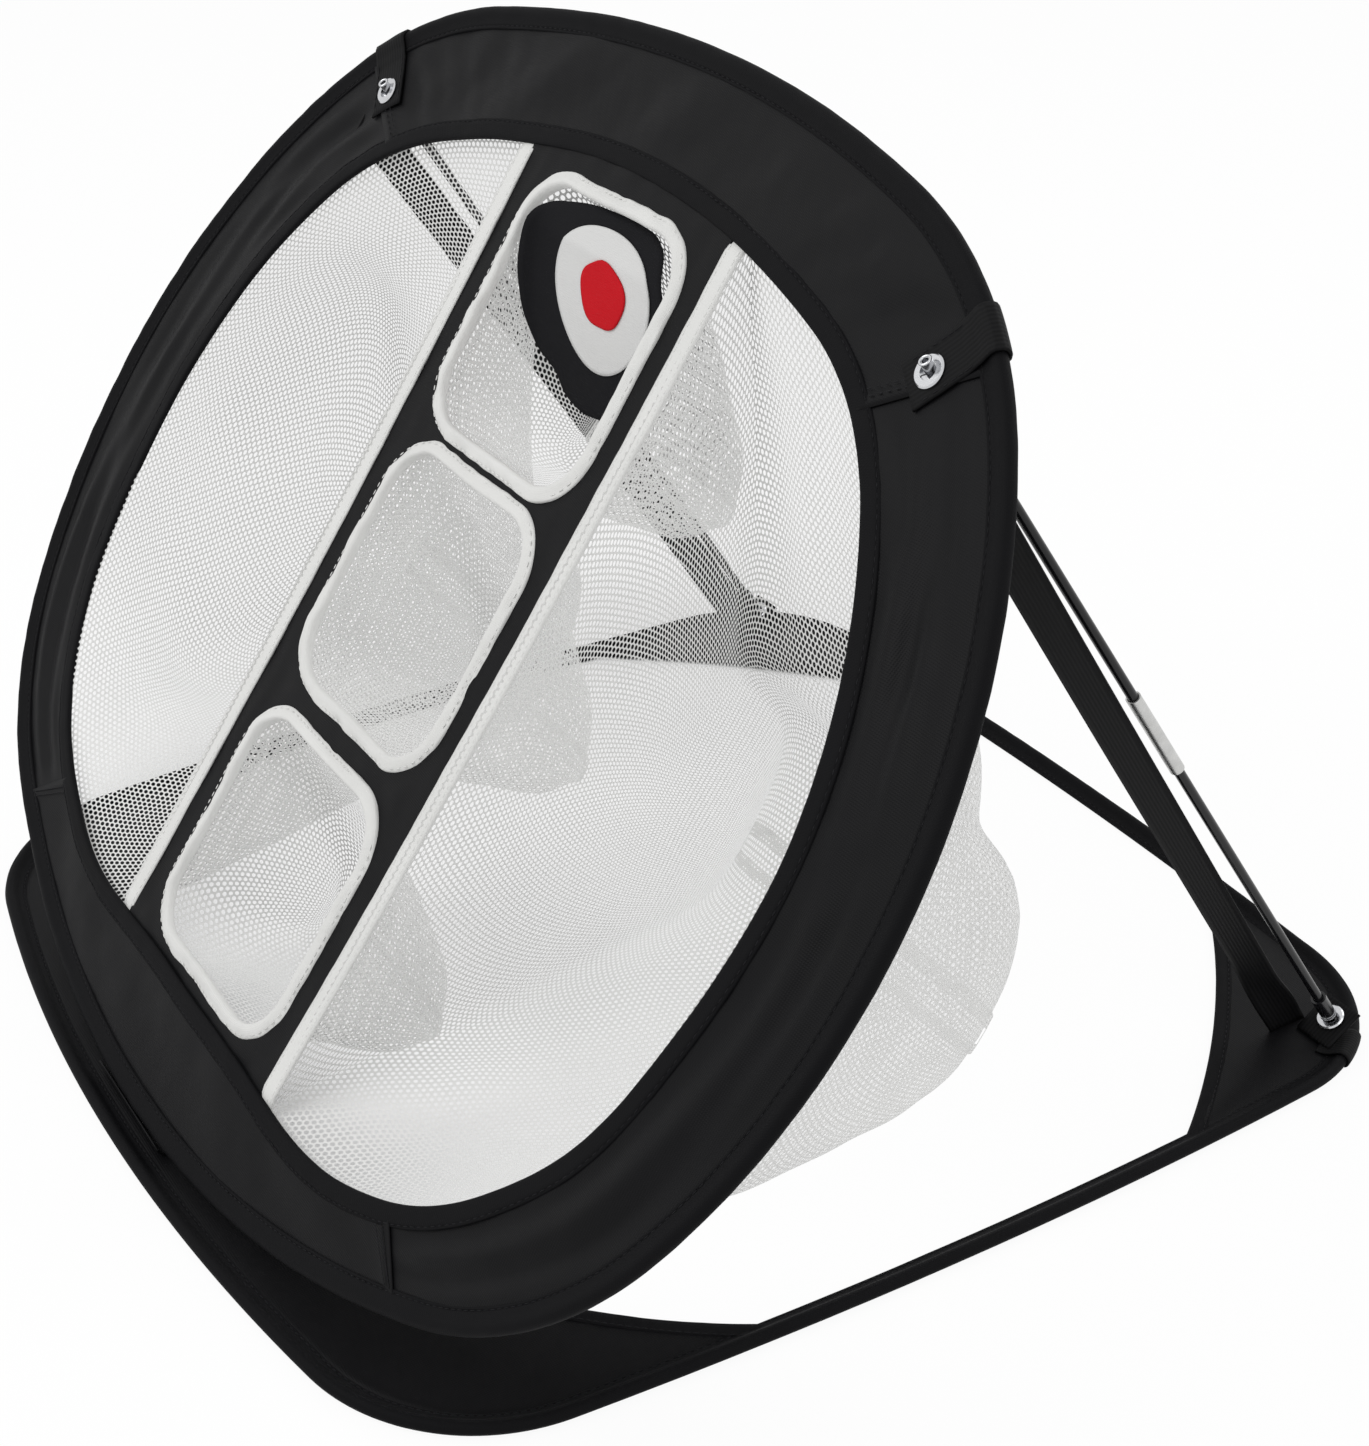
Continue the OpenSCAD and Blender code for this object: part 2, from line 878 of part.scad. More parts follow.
module rod_top_cap(side) {
  color(chrome)
    on_rod(side)
      translate([0, 0, rod_l])
        mirror([0, 0, 1])
          union() {
            rod_end(pin_up);
            translate([0, 0, -pin_up])
              rotate_extrude($fn = 32)
                translate([pin_d / 2 - lip_d / 6, 0])
                  circle(d = lip_d, $fn = 16);
          }
}

module rod_lower(side) {
  start = foot_start + cup_floor + gap;
  color(rod_black)
    on_rod(side)
      translate([0, 0, start])
        cylinder(d = rod_d, h = joint_z - gap - start, $fn = 32);
}

module rod_upper(side) {
  end = rod_l - foot_start - cup_floor - gap;
  color(rod_black)
    on_rod(side)
      translate([0, 0, joint_z + gap])
        cylinder(d = rod_d, h = end - joint_z - gap, $fn = 32);
}

module rod_ferrule(side) {
  color(chrome)
    on_rod(side)
      translate([0, 0, joint_z])
        difference() {
          cylinder(d = ferrule_d, h = ferrule_l, center = true, $fn = 48);
          cylinder(d = rod_d + 2 * gap, h = ferrule_l + 2, center = true, $fn = 32);
        }
}

// ---- assembly ----

base_hoop_spring();
base_hoop_sleeve();
front_apron();
apron_hem();
corner_panel(left);  // corner_panel_left
corner_panel(right);  // corner_panel_right
corner_hem(left);  // corner_hem_left
corner_hem(right);  // corner_hem_right
base_tab(left);  // base_tab_left
base_tab(right);  // base_tab_right
fold_gusset();
strap(left);  // strap_left
strap(right);  // strap_right
front_hoop_spring();
front_hoop_sleeve();
band_top();
band_bottom();
band_side(left);  // band_left
band_side(right);  // band_right
opening_binding();
centre_column();
column_tape(left);  // column_tape_left
column_tape(right);  // column_tape_right
window_rim(0);  // window_rim_top
window_rim(1);  // window_rim_middle
window_rim(2);  // window_rim_bottom
pocket_net(0);  // pocket_net_top
pocket_net(1);  // pocket_net_middle
pocket_net(2);  // pocket_net_bottom
side_net(left);  // side_net_left
side_net(right);  // side_net_right
target_cloth();
target_white_ring();
target_centre();
top_tab(left);  // top_tab_left
top_tab(right);  // top_tab_right
top_eyelet(left);  // top_eyelet_left
top_eyelet(right);  // top_eyelet_right
base_eyelet(left);  // base_eyelet_left
base_eyelet(right);  // base_eyelet_right
rod_foot_cap(left);  // rod_foot_cap_left
rod_foot_cap(right);  // rod_foot_cap_right
rod_lower(left);  // rod_lower_left
rod_lower(right);  // rod_lower_right
rod_ferrule(left);  // rod_ferrule_left
rod_ferrule(right);  // rod_ferrule_right
rod_upper(left);  // rod_upper_left
rod_upper(right);  // rod_upper_right
rod_top_cap(left);  // rod_top_cap_left
rod_top_cap(right);  // rod_top_cap_right
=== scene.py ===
"""Cloth, nets, webbing and metal fittings of a pop-up golf chipping net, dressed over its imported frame."""

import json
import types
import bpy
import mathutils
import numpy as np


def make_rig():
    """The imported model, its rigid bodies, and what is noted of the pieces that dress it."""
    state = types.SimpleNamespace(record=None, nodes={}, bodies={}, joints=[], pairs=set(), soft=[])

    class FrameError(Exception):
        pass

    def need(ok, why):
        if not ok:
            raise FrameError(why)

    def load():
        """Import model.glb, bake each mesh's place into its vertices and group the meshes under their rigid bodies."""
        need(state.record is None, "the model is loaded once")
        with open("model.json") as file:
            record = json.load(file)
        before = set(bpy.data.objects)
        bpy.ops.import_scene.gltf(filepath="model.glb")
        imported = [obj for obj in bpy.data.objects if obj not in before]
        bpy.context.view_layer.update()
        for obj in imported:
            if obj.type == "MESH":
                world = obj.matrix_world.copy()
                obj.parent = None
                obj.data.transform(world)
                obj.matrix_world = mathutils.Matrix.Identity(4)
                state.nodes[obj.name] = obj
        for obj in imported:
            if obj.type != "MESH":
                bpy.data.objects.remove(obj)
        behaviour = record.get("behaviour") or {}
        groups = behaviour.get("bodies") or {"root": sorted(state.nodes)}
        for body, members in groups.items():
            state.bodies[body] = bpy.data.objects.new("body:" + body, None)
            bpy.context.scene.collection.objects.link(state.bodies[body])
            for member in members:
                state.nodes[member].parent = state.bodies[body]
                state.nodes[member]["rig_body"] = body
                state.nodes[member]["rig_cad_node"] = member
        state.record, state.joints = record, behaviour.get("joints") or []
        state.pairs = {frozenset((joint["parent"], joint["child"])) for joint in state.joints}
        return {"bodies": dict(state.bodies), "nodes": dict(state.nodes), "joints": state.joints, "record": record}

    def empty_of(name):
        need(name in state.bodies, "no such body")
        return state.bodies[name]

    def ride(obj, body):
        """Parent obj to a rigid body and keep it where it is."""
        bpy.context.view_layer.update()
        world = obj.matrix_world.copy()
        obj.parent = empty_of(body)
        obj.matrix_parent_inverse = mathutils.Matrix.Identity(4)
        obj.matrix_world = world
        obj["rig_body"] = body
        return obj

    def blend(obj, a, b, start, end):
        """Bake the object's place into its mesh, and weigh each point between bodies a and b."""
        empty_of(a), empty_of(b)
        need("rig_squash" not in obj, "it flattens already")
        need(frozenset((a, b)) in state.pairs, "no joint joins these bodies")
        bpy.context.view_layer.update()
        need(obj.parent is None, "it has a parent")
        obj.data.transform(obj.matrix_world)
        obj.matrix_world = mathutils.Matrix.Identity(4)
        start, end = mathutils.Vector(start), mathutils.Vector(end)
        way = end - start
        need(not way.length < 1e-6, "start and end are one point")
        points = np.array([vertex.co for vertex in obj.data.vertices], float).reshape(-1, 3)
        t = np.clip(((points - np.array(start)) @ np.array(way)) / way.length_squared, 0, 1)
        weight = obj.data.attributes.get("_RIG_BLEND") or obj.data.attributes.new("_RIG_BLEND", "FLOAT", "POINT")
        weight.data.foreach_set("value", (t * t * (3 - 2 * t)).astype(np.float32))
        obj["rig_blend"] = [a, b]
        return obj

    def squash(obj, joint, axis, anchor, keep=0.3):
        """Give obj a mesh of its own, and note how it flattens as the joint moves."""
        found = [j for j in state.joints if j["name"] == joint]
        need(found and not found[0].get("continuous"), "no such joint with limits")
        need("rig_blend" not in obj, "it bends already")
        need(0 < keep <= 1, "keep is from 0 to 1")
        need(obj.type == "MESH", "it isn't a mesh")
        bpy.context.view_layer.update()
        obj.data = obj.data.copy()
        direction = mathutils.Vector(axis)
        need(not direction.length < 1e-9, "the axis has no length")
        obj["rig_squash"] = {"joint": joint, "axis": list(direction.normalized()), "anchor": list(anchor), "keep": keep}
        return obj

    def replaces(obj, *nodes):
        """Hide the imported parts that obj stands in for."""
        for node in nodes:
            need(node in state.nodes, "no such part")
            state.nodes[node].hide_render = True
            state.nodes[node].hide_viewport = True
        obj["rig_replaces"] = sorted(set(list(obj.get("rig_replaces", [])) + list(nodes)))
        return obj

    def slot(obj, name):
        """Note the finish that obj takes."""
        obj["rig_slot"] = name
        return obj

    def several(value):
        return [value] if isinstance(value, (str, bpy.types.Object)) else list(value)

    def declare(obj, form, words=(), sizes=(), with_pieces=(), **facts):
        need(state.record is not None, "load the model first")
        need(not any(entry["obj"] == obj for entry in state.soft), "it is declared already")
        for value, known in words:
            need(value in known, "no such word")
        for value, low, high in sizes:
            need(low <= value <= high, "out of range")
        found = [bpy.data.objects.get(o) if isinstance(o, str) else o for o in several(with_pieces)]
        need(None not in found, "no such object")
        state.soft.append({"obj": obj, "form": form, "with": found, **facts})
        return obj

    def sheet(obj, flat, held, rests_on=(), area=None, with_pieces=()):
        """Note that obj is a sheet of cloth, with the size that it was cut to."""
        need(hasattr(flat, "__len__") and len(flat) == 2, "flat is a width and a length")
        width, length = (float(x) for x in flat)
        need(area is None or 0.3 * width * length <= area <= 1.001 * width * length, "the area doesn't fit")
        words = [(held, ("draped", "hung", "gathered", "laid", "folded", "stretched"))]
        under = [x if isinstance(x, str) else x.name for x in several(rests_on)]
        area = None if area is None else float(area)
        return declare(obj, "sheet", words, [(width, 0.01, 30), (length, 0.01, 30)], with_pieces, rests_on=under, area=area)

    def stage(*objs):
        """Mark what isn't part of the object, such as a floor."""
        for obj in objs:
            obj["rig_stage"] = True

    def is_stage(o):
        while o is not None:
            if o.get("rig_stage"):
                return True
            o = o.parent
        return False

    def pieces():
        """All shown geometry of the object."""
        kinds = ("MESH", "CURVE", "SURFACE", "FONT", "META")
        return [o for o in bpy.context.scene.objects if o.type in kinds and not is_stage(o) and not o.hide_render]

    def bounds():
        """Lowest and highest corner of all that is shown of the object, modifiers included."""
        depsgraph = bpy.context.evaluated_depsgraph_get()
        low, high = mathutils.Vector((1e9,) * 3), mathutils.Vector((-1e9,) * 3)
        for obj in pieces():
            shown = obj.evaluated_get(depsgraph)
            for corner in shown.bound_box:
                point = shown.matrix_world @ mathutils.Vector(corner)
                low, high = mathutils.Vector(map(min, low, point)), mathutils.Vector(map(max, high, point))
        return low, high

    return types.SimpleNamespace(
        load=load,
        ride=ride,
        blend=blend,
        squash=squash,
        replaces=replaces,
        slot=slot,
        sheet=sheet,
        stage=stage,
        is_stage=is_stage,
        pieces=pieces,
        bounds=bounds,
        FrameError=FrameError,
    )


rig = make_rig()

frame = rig.load()

import json
import logging
import math
from collections.abc import Callable, Sequence
from dataclasses import dataclass
from enum import Enum
from functools import cached_property

import bmesh
import bpy
from mathutils import Matrix, Vector, noise

LOG = logging.getLogger("chipping_net")

MM = 0.001
LEAN = math.radians(55)
FOLD_Y = -292.3625 * MM
FOLD_Z = 9 * MM
LOWER_EYE = (265.41 * MM, 258.3 * MM, 12.5 * MM)
UPPER_EYE = (233.01 * MM, -11.78 * MM, 409.71 * MM)
CLOTH_T = 1.0 * MM
WEBBING_T = 1.2 * MM

Pair = tuple[float, float]
Place = Callable[[float, float], Vector]
Grain = Callable[[float, float], Pair]


class Side(Enum):
    """The two mirrored halves of the net, and the sign of x on each."""

    LEFT = -1
    RIGHT = 1

    @property
    def tag(self) -> str:
        """The word that ends a piece's name."""
        return self.name.lower()


class Band(Enum):
    """The four cloth pieces between the opening and the front hoop."""

    TOP = "top"
    BOTTOM = "bottom"
    LEFT = "left"
    RIGHT = "right"


class Body(Enum):
    """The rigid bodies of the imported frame."""

    BASE = "base"
    PANEL = "panel"


# ---------------------------------------------------------------- outlines


@dataclass(frozen=True)
class Hoop:
    """A closed outline of tangent arcs, the same on both sides of x = 0, in its own plane.

    A row is (radius as a share of the width, heading in degrees where the arc ends).
    A sewn edge may stray a little in and out of its arcs, by up to stray metres, and its front may
    be drawn straight across at a level.
    """

    rows: tuple[Pair, ...]
    width: float
    start_y: float
    stray: float = 0.0
    level: float = 0.0

    @cached_property
    def length(self) -> float:
        """Length of the whole outline, in metres."""
        _, radius, a, b, run = self.arcs[-1]
        return 2 * (run + radius * (b - a))

    def headings(self) -> list[float]:
        """Heading at each joint between arcs, from 0 at the front to pi at the back."""
        return [0.0, *(math.radians(row[1]) for row in self.rows), math.pi]

    def radii(self) -> list[float]:
        """Radius of each arc; the last one closes the outline on the centre line.

        Returns:
            The radii in metres.
        """
        turns = self.headings()
        gain = sum(
            row[0] * self.width * (math.sin(turns[i + 1]) - math.sin(turns[i]))
            for i, row in enumerate(self.rows)
        )
        return [*(row[0] * self.width for row in self.rows), gain / math.sin(turns[-2])]

    @cached_property
    def arcs(self) -> list[tuple[Vector, float, float, float, float]]:
        """Centre, radius, start heading, end heading and distance run before, for each arc.

        Returns:
            One tuple for each arc, from the front to the back.
        """
        turns, radii = self.headings(), self.radii()
        here, run, found = Vector((0.0, self.start_y)), 0.0, []
        for radius, a, b in zip(radii, turns, turns[1:]):
            centre = here + radius * Vector((-math.sin(a), math.cos(a)))
            found.append((centre, radius, a, b, run))
            here = centre + radius * Vector((math.sin(b), -math.cos(b)))
            run += radius * (b - a)
        return found

    def at(self, share: float, out: float = 0.0) -> Pair:
        """A point at a share of the way round, counter-clockwise from the front centre.

        Args:
            share: 0 at the front centre, 0.5 at the back centre, on to 1.
            out: how far outside the outline the point lies, in metres.

        Returns:
            x and y in the outline's plane.
        """
        share %= 1.0
        side, half = (1.0, share) if share <= 0.5 else (-1.0, 1.0 - share)
        run = half * self.length
        arc = next((c for c in reversed(self.arcs) if c[4] <= run), self.arcs[0])
        centre, radius, a, _, before = arc
        heading = a + (run - before) / radius
        if self.stray:
            turn = 2 * math.pi * share
            out += self.stray * wave(3.2 * math.cos(turn), 3.2 * math.sin(turn), seed=2.4)
        spot = centre + (radius + out) * Vector((math.sin(heading), -math.cos(heading)))
        if self.level:
            low, ease = self.level - out, 6 * MM
            if (rise := (spot.y - low) / ease) < 30.0:
                spot.y = low + ease * math.log1p(math.exp(rise))
        return side * spot.x, spot.y

    def share_where(self, test: Callable[[float, float], float], low: float, high: float) -> float:
        """The share between low and high where test changes sign, by halving.

        Args:
            test: a function of x and y that changes sign once on the stretch.
            low: share at which the stretch starts.
            high: share at which it ends.

        Returns:
            The share where test is zero.
        """
        first = test(*self.at(low)) > 0
        for _ in range(36):
            middle = (low + high) / 2
            if (test(*self.at(middle)) > 0) == first:
                low = middle
            else:
                high = middle
        return (low + high) / 2


FRONT_HOOP = Hoop(
    ((0.768, 26.7), (0.256, 67.9), (0.439, 130.3), (0.296, 166.5)), width=730 * MM, start_y=-3.5 * MM
)
OPENING = Hoop(
    ((0.78, 24.9), (0.28, 70.8), (0.453, 127.9), (0.267, 163.4)),
    width=591.3 * MM,
    start_y=36.5 * MM,
    stray=4 * MM,
    level=60 * MM,
)
GROUND_HOOP = Hoop(
    ((1.87, 10.6), (0.164, 84.7), (5.08, 92.7), (0.151, 176)), width=598 * MM, start_y=-311.6625 * MM
)


def mixed(a: Pair, b: Pair, t: float) -> Pair:
    """The pair at a share t of the way from a to b."""
    return a[0] + (b[0] - a[0]) * t, a[1] + (b[1] - a[1]) * t


def on_panel(x: float, up: float, out: float) -> Vector:
    """Row-frame point of a place on the leaning panel.

    Args:
        x: distance to the right of the centre line.
        up: distance up the panel from the fold.
        out: distance in front of the panel's plane.

    Returns:
        The point in the row frame, in metres.
    """
    sin, cos = math.sin(LEAN), math.cos(LEAN)
    return Vector((x, FOLD_Y + up * cos - out * sin, FOLD_Z + up * sin + out * cos))


PANEL_NORMAL = on_panel(0, 0, 1) - on_panel(0, 0, 0)


def smooth(a: float, b: float, x: float) -> float:
    """0 below a, 1 above b and an S-shaped step between them."""
    t = min(1.0, max(0.0, (x - a) / (b - a)))
    return t * t * (3 - 2 * t)


def wave(*place: float, seed: float = 0.0) -> float:
    """Smooth noise from -1 to 1 at a place given in wavelengths."""
    x, y, z = (*place, 0.0, 0.0)[:3]
    return noise.noise(Vector((x + seed, y - 0.7 * seed, z + 0.3 * seed)))


def crease(x: float, centre: float, width: float) -> float:
    """Height of a rounded ridge of that half-width at x, from 0 to 1."""
    return math.exp(-(((x - centre) / width) ** 2))


# ---------------------------------------------------------------- finishes


Settings = dict[str | int, object]
Links = dict[str | int, bpy.types.NodeSocket]
WAVE_MM = 0.314  # scale at which a Wave texture repeats once in a millimetre


def linear(hex_colour: str) -> tuple[float, float, float, float]:
    """Linear RGBA of an sRGB hex colour such as #1d1d1f.

    Args:
        hex_colour: the colour.

    Returns:
        Red, green, blue and 1.
    """
    parts = [int(hex_colour[i : i + 2], 16) / 255 for i in (1, 3, 5)]
    red, green, blue = (c / 12.92 if c <= 0.04045 else ((c + 0.055) / 1.055) ** 2.4 for c in parts)
    return red, green, blue, 1.0


def fill(node: bpy.types.Node, settings: Settings | None, links: Links | None) -> bpy.types.Node:
    """Sets up one shader node.

    Args:
        node: the node.
        settings: attributes by name, and input values by input name or number.
        links: output sockets by the input name or number that they feed.

    Returns:
        The node itself.
    """
    for key, value in (settings or {}).items():
        if isinstance(key, str) and hasattr(node, key):
            setattr(node, key, value)
        else:
            node.inputs[key].default_value = value
    for key, socket in (links or {}).items():
        node.id_data.links.new(socket, node.inputs[key])
    return node


def add_node(
    tree: bpy.types.NodeTree,
    kind: str,
    settings: Settings | None = None,
    links: Links | None = None,
    out: str | int = 0,
) -> bpy.types.NodeSocket:
    """Adds a node of a kind such as ShaderNodeMath, sets it up with fill and gives its output out."""
    return fill(tree.nodes.new(kind), settings, links).outputs[out]


class Finish:
    """A named material that is built once and shared by its pieces."""

    name: str
    slot: str

    def build(self, tree: bpy.types.NodeTree, shader: bpy.types.Node) -> None:
        """Adds the finish's nodes round its main shader."""
        raise NotImplementedError

    def material(self) -> bpy.types.Material:
        """The Blender material, made on first use."""
        found = bpy.data.materials.get(self.name)
        if found is None:
            found = bpy.data.materials.new(self.name)
            found.use_nodes = True
            self.build(found.node_tree, found.node_tree.nodes["Principled BSDF"])
        return found


def mesh_pattern(tree: bpy.types.NodeTree, pitch: float) -> bpy.types.NodeSocket:
    """Distance to the nearest hole of a staggered grid on the UV map, in pitches.

    Args:
        tree: the material's node tree.
        pitch: distance between neighbouring holes, in metres.

    Returns:
        A float socket, 0 at a hole's centre.
    """
    flat, tall = add_node(tree, "ShaderNodeUVMap"), math.sqrt(3)
    rows = []
    for shift in (0.0, 0.5):
        spacing = {"Scale": (1 / pitch, 1 / pitch, 0), "Location": (shift, shift * tall, 0)}
        moved = add_node(tree, "ShaderNodeMapping", spacing, {"Vector": flat})
        cell = {"operation": "WRAP", 1: (0.5, tall / 2, 1), 2: (-0.5, -tall / 2, -1)}
        wrapped = add_node(tree, "ShaderNodeVectorMath", cell, {0: moved})
        rows.append(add_node(tree, "ShaderNodeVectorMath", {"operation": "LENGTH"}, {0: wrapped}, "Value"))
    return add_node(tree, "ShaderNodeMath", {"operation": "MINIMUM"}, dict(enumerate(rows)))


@dataclass(frozen=True)
class KnittedMesh(Finish):
    """Warp-knitted polyester netting: soft white filament round open six-sided holes."""

    name: str
    slot: str = "white_net"
    colour: str = "#d7d7d5"
    shade: str = "#cdcdcc"
    pitch: float = 3.7 * MM  # hole spacing of common sports mesh
    hole: float = 0.36  # hole radius, in pitches
    edge: float = 0.035  # softness of a hole's edge, in pitches

    def build(self, tree: bpy.types.NodeTree, shader: bpy.types.Node) -> None:
        """Cuts the holes through the cloth with alpha and rounds the yarn between them.

        Args:
            tree: the material's node tree.
            shader: its main shader.
        """
        nearest = mesh_pattern(tree, self.pitch)
        cut = {"From Min": self.hole - self.edge, "From Max": self.hole + self.edge}
        where = add_node(tree, "ShaderNodeTexCoord", out="Object")
        patches = add_node(tree, "ShaderNodeTexNoise", {"Scale": 14.0, "Detail": 2.0}, {"Vector": where})
        yarn = {"data_type": "RGBA", 6: linear(self.colour), 7: linear(self.shade)}
        swell = {"Strength": 0.3, "Distance": 0.3 * MM}
        fill(
            shader,
            {"Roughness": 0.7, "Sheen Weight": 0.1},
            {
                "Alpha": add_node(tree, "ShaderNodeMapRange", cut, {"Value": nearest}),
                "Base Color": add_node(tree, "ShaderNodeMix", yarn, {0: patches}, 2),
                "Normal": add_node(tree, "ShaderNodeBump", swell, {"Height": nearest}),
            },
        )


@dataclass(frozen=True)
class Cloth(Finish):
    """Woven or folded polyester: crossed threads and slight unevenness of dye."""

    name: str
    slot: str
    colour: str
    shade: str
    thread: float = 1.1 * MM  # real thread is about 0.4 mm, drawn coarser so that it shows
    turn: float = 0.0
    roughness: float = 0.62
    specular: float = 0.055
    depth: float = 0.12 * MM

    def build(self, tree: bpy.types.NodeTree, shader: bpy.types.Node) -> None:
        """Adds the weave as bump and the dye and dust as soft patches of colour.

        Args:
            tree: the material's node tree.
            shader: its main shader.
        """
        flat = add_node(tree, "ShaderNodeUVMap")
        turned = {"Rotation": (0, 0, self.turn), "Scale": (1 / MM, 1 / MM, 1)}
        grid = add_node(tree, "ShaderNodeMapping", turned, {"Vector": flat})
        wavy = {"Scale": WAVE_MM / (self.thread / MM), "Distortion": 0.6, "Detail": 1.0}
        threads = {
            i: add_node(tree, "ShaderNodeTexWave", {"bands_direction": axis, **wavy}, {"Vector": grid}, 1)
            for i, axis in enumerate("XY")
        }
        weave = add_node(tree, "ShaderNodeMath", {"operation": "MULTIPLY"}, threads)
        where = add_node(tree, "ShaderNodeTexCoord", out="Object")
        cloudy = {"Scale": 22.0, "Detail": 4.0, "Roughness": 0.6}
        dye = add_node(tree, "ShaderNodeTexNoise", cloudy, {"Vector": where})
        tint = {"data_type": "RGBA", 6: linear(self.colour), 7: linear(self.shade)}
        worn = {"To Min": self.roughness - 0.08, "To Max": self.roughness + 0.08}
        relief = {"Strength": 0.6, "Distance": self.depth}
        fill(
            shader,
            {"Specular IOR Level": self.specular},
            {
                "Base Color": add_node(tree, "ShaderNodeMix", tint, {0: dye}, 2),
                "Roughness": add_node(tree, "ShaderNodeMapRange", worn, {"Value": dye}),
                "Normal": add_node(tree, "ShaderNodeBump", relief, {"Height": weave}),
            },
        )


@dataclass(frozen=True)
class Webbing(Finish):
    """Ribbed polyester webbing: rounded ribs across the band, with painted shade in the grooves between them."""

    name: str
    slot: str
    colour: str
    # gap: painted shade for the grooves between the ribs, darker than the yarn's own colour
    gap: str = "#0a0a0b"
    rib: float = 2.0 * MM

    def build(self, tree: bpy.types.NodeTree, shader: bpy.types.Node) -> None:
        """Adds the ribs as bump, and painted shade in the grooves between them as colour.

        Args:
            tree: the material's node tree.
            shader: its main shader.
        """
        flat = add_node(tree, "ShaderNodeUVMap")
        grid = add_node(tree, "ShaderNodeMapping", {"Scale": (1 / MM, 1 / MM, 1)}, {"Vector": flat})
        wavy = {"bands_direction": "X", "Scale": WAVE_MM / (self.rib / MM), "Distortion": 0.3}
        ribs = add_node(tree, "ShaderNodeTexWave", wavy, {"Vector": grid}, 1)
        # the rib pattern that makes the bump also darkens the low grooves: painted shade
        tint = {"data_type": "RGBA", 6: linear(self.gap), 7: linear(self.colour)}
        relief = {"Strength": 0.4, "Distance": 0.2 * MM}
        fill(
            shader,
            {"Roughness": 0.6, "Specular IOR Level": 0.08},
            {
                "Base Color": add_node(tree, "ShaderNodeMix", tint, {0: ribs}, 2),
                "Normal": add_node(tree, "ShaderNodeBump", relief, {"Height": ribs}),
            },
        )


@dataclass(frozen=True)
class Metal(Finish):
    """Plated or rolled metal, faintly scuffed by handling."""

    name: str
    colour: str
    dull: str
    roughness: float
    grain: float = 60.0

    def build(self, tree: bpy.types.NodeTree, shader: bpy.types.Node) -> None:
        """Adds scuffs that roughen and dull the plating.

        Args:
            tree: the material's node tree.
            shader: its main shader.
        """
        where = add_node(tree, "ShaderNodeTexCoord", out="Object")
        fine = {"Scale": self.grain, "Detail": 5.0, "Roughness": 0.65}
        scuffs = add_node(tree, "ShaderNodeTexNoise", fine, {"Vector": where})
        tint = {"data_type": "RGBA", 6: linear(self.colour), 7: linear(self.dull)}
        worn = {"To Min": self.roughness * 0.6, "To Max": self.roughness * 1.5}
        fill(
            shader,
            {"Metallic": 1.0},
            {
                "Base Color": add_node(tree, "ShaderNodeMix", tint, {0: scuffs}, 2),
                "Roughness": add_node(tree, "ShaderNodeMapRange", worn, {"Value": scuffs}),
            },
        )


@dataclass(frozen=True)
class RodGel(Finish):
    """Pultruded glass-fibre rod with a black gel coat: glossy, with faint lengthwise drag lines."""

    name: str
    colour: str = "#0b0b0d"
    line: str = "#121214"

    def build(self, tree: bpy.types.NodeTree, shader: bpy.types.Node) -> None:
        """Adds the drag lines to the gloss.

        Args:
            tree: the material's node tree.
            shader: its main shader.
        """
        where = add_node(tree, "ShaderNodeTexCoord", out="Object")
        lines = add_node(tree, "ShaderNodeTexNoise", {"Scale": 900.0, "Detail": 1.0}, {"Vector": where})
        tint = {"data_type": "RGBA", 6: linear(self.colour), 7: linear(self.line)}
        relief = {"Strength": 0.2, "Distance": 0.05 * MM}
        fill(
            shader,
            {"Roughness": 0.22, "Specular IOR Level": 0.3},
            {
                "Base Color": add_node(tree, "ShaderNodeMix", tint, {0: lines}, 2),
                "Normal": add_node(tree, "ShaderNodeBump", relief, {"Height": lines}),
            },
        )


NET = KnittedMesh("knitted_white_sports_mesh")
NET_HEM = KnittedMesh("doubled_white_sports_mesh", hole=0.26, pitch=2.6 * MM)
BLACK_CLOTH = Cloth(
    "woven_black_polyester", "black_cloth", "#09090a", "#0e0e10", roughness=0.45, specular=0.08
)
BLACK_BINDING = Cloth(
    "folded_black_binding_tape", "black_binding", "#0b0b0c", "#111113", thread=0.9 * MM, turn=0.7
)
WHITE_PIPING = Cloth(
    "padded_white_cotton_piping",
    "white_piping",
    "#c6c6c4",
    "#d4d4d2",
    thread=1.0 * MM,
    roughness=0.8,
    specular=0.3,
)
WHITE_TAPE = Cloth(
    "woven_white_edging_tape",
    "white_tape",
    "#c8c8c6",
    "#d4d4d2",
    thread=1.2 * MM,
    roughness=0.8,
    specular=0.3,
)
TARGET_BLACK = Cloth("brushed_black_target_cloth", "black_cloth", "#161618", "#1f1f21", roughness=0.8)
TARGET_WHITE = Cloth(
    "coated_white_target_cloth", "white_cloth", "#c2c2c1", "#cacac9", roughness=0.55, specular=0.4
)
TARGET_RED = Cloth("dyed_red_target_cloth", "red_cloth", "#b01019", "#be1a24", roughness=0.6)
BLACK_WEBBING = Webbing("ribbed_black_webbing", "black_webbing", "#121213")
BLACK_THREAD = Cloth("bonded_black_thread", "", "#1c1c1e", "#262628", thread=0.6 * MM, roughness=0.5)
WHITE_THREAD = Cloth("bonded_white_thread", "", "#dcdcda", "#e8e8e6", thread=0.6 * MM, roughness=0.5)
CHROME = Metal("bright_nickel_plate", "#d9dadc", "#b9babd", 0.16)
FERRULE = Metal("drawn_aluminium_ferrule", "#dcdcda", "#b4b4b3", 0.4, grain=140.0)
SPRING = Metal("oiled_spring_strip", "#5b5d61", "#44464a", 0.35)
ROD = RodGel("black_gel_coated_glass_fibre")


# ---------------------------------------------------------------- mesh making


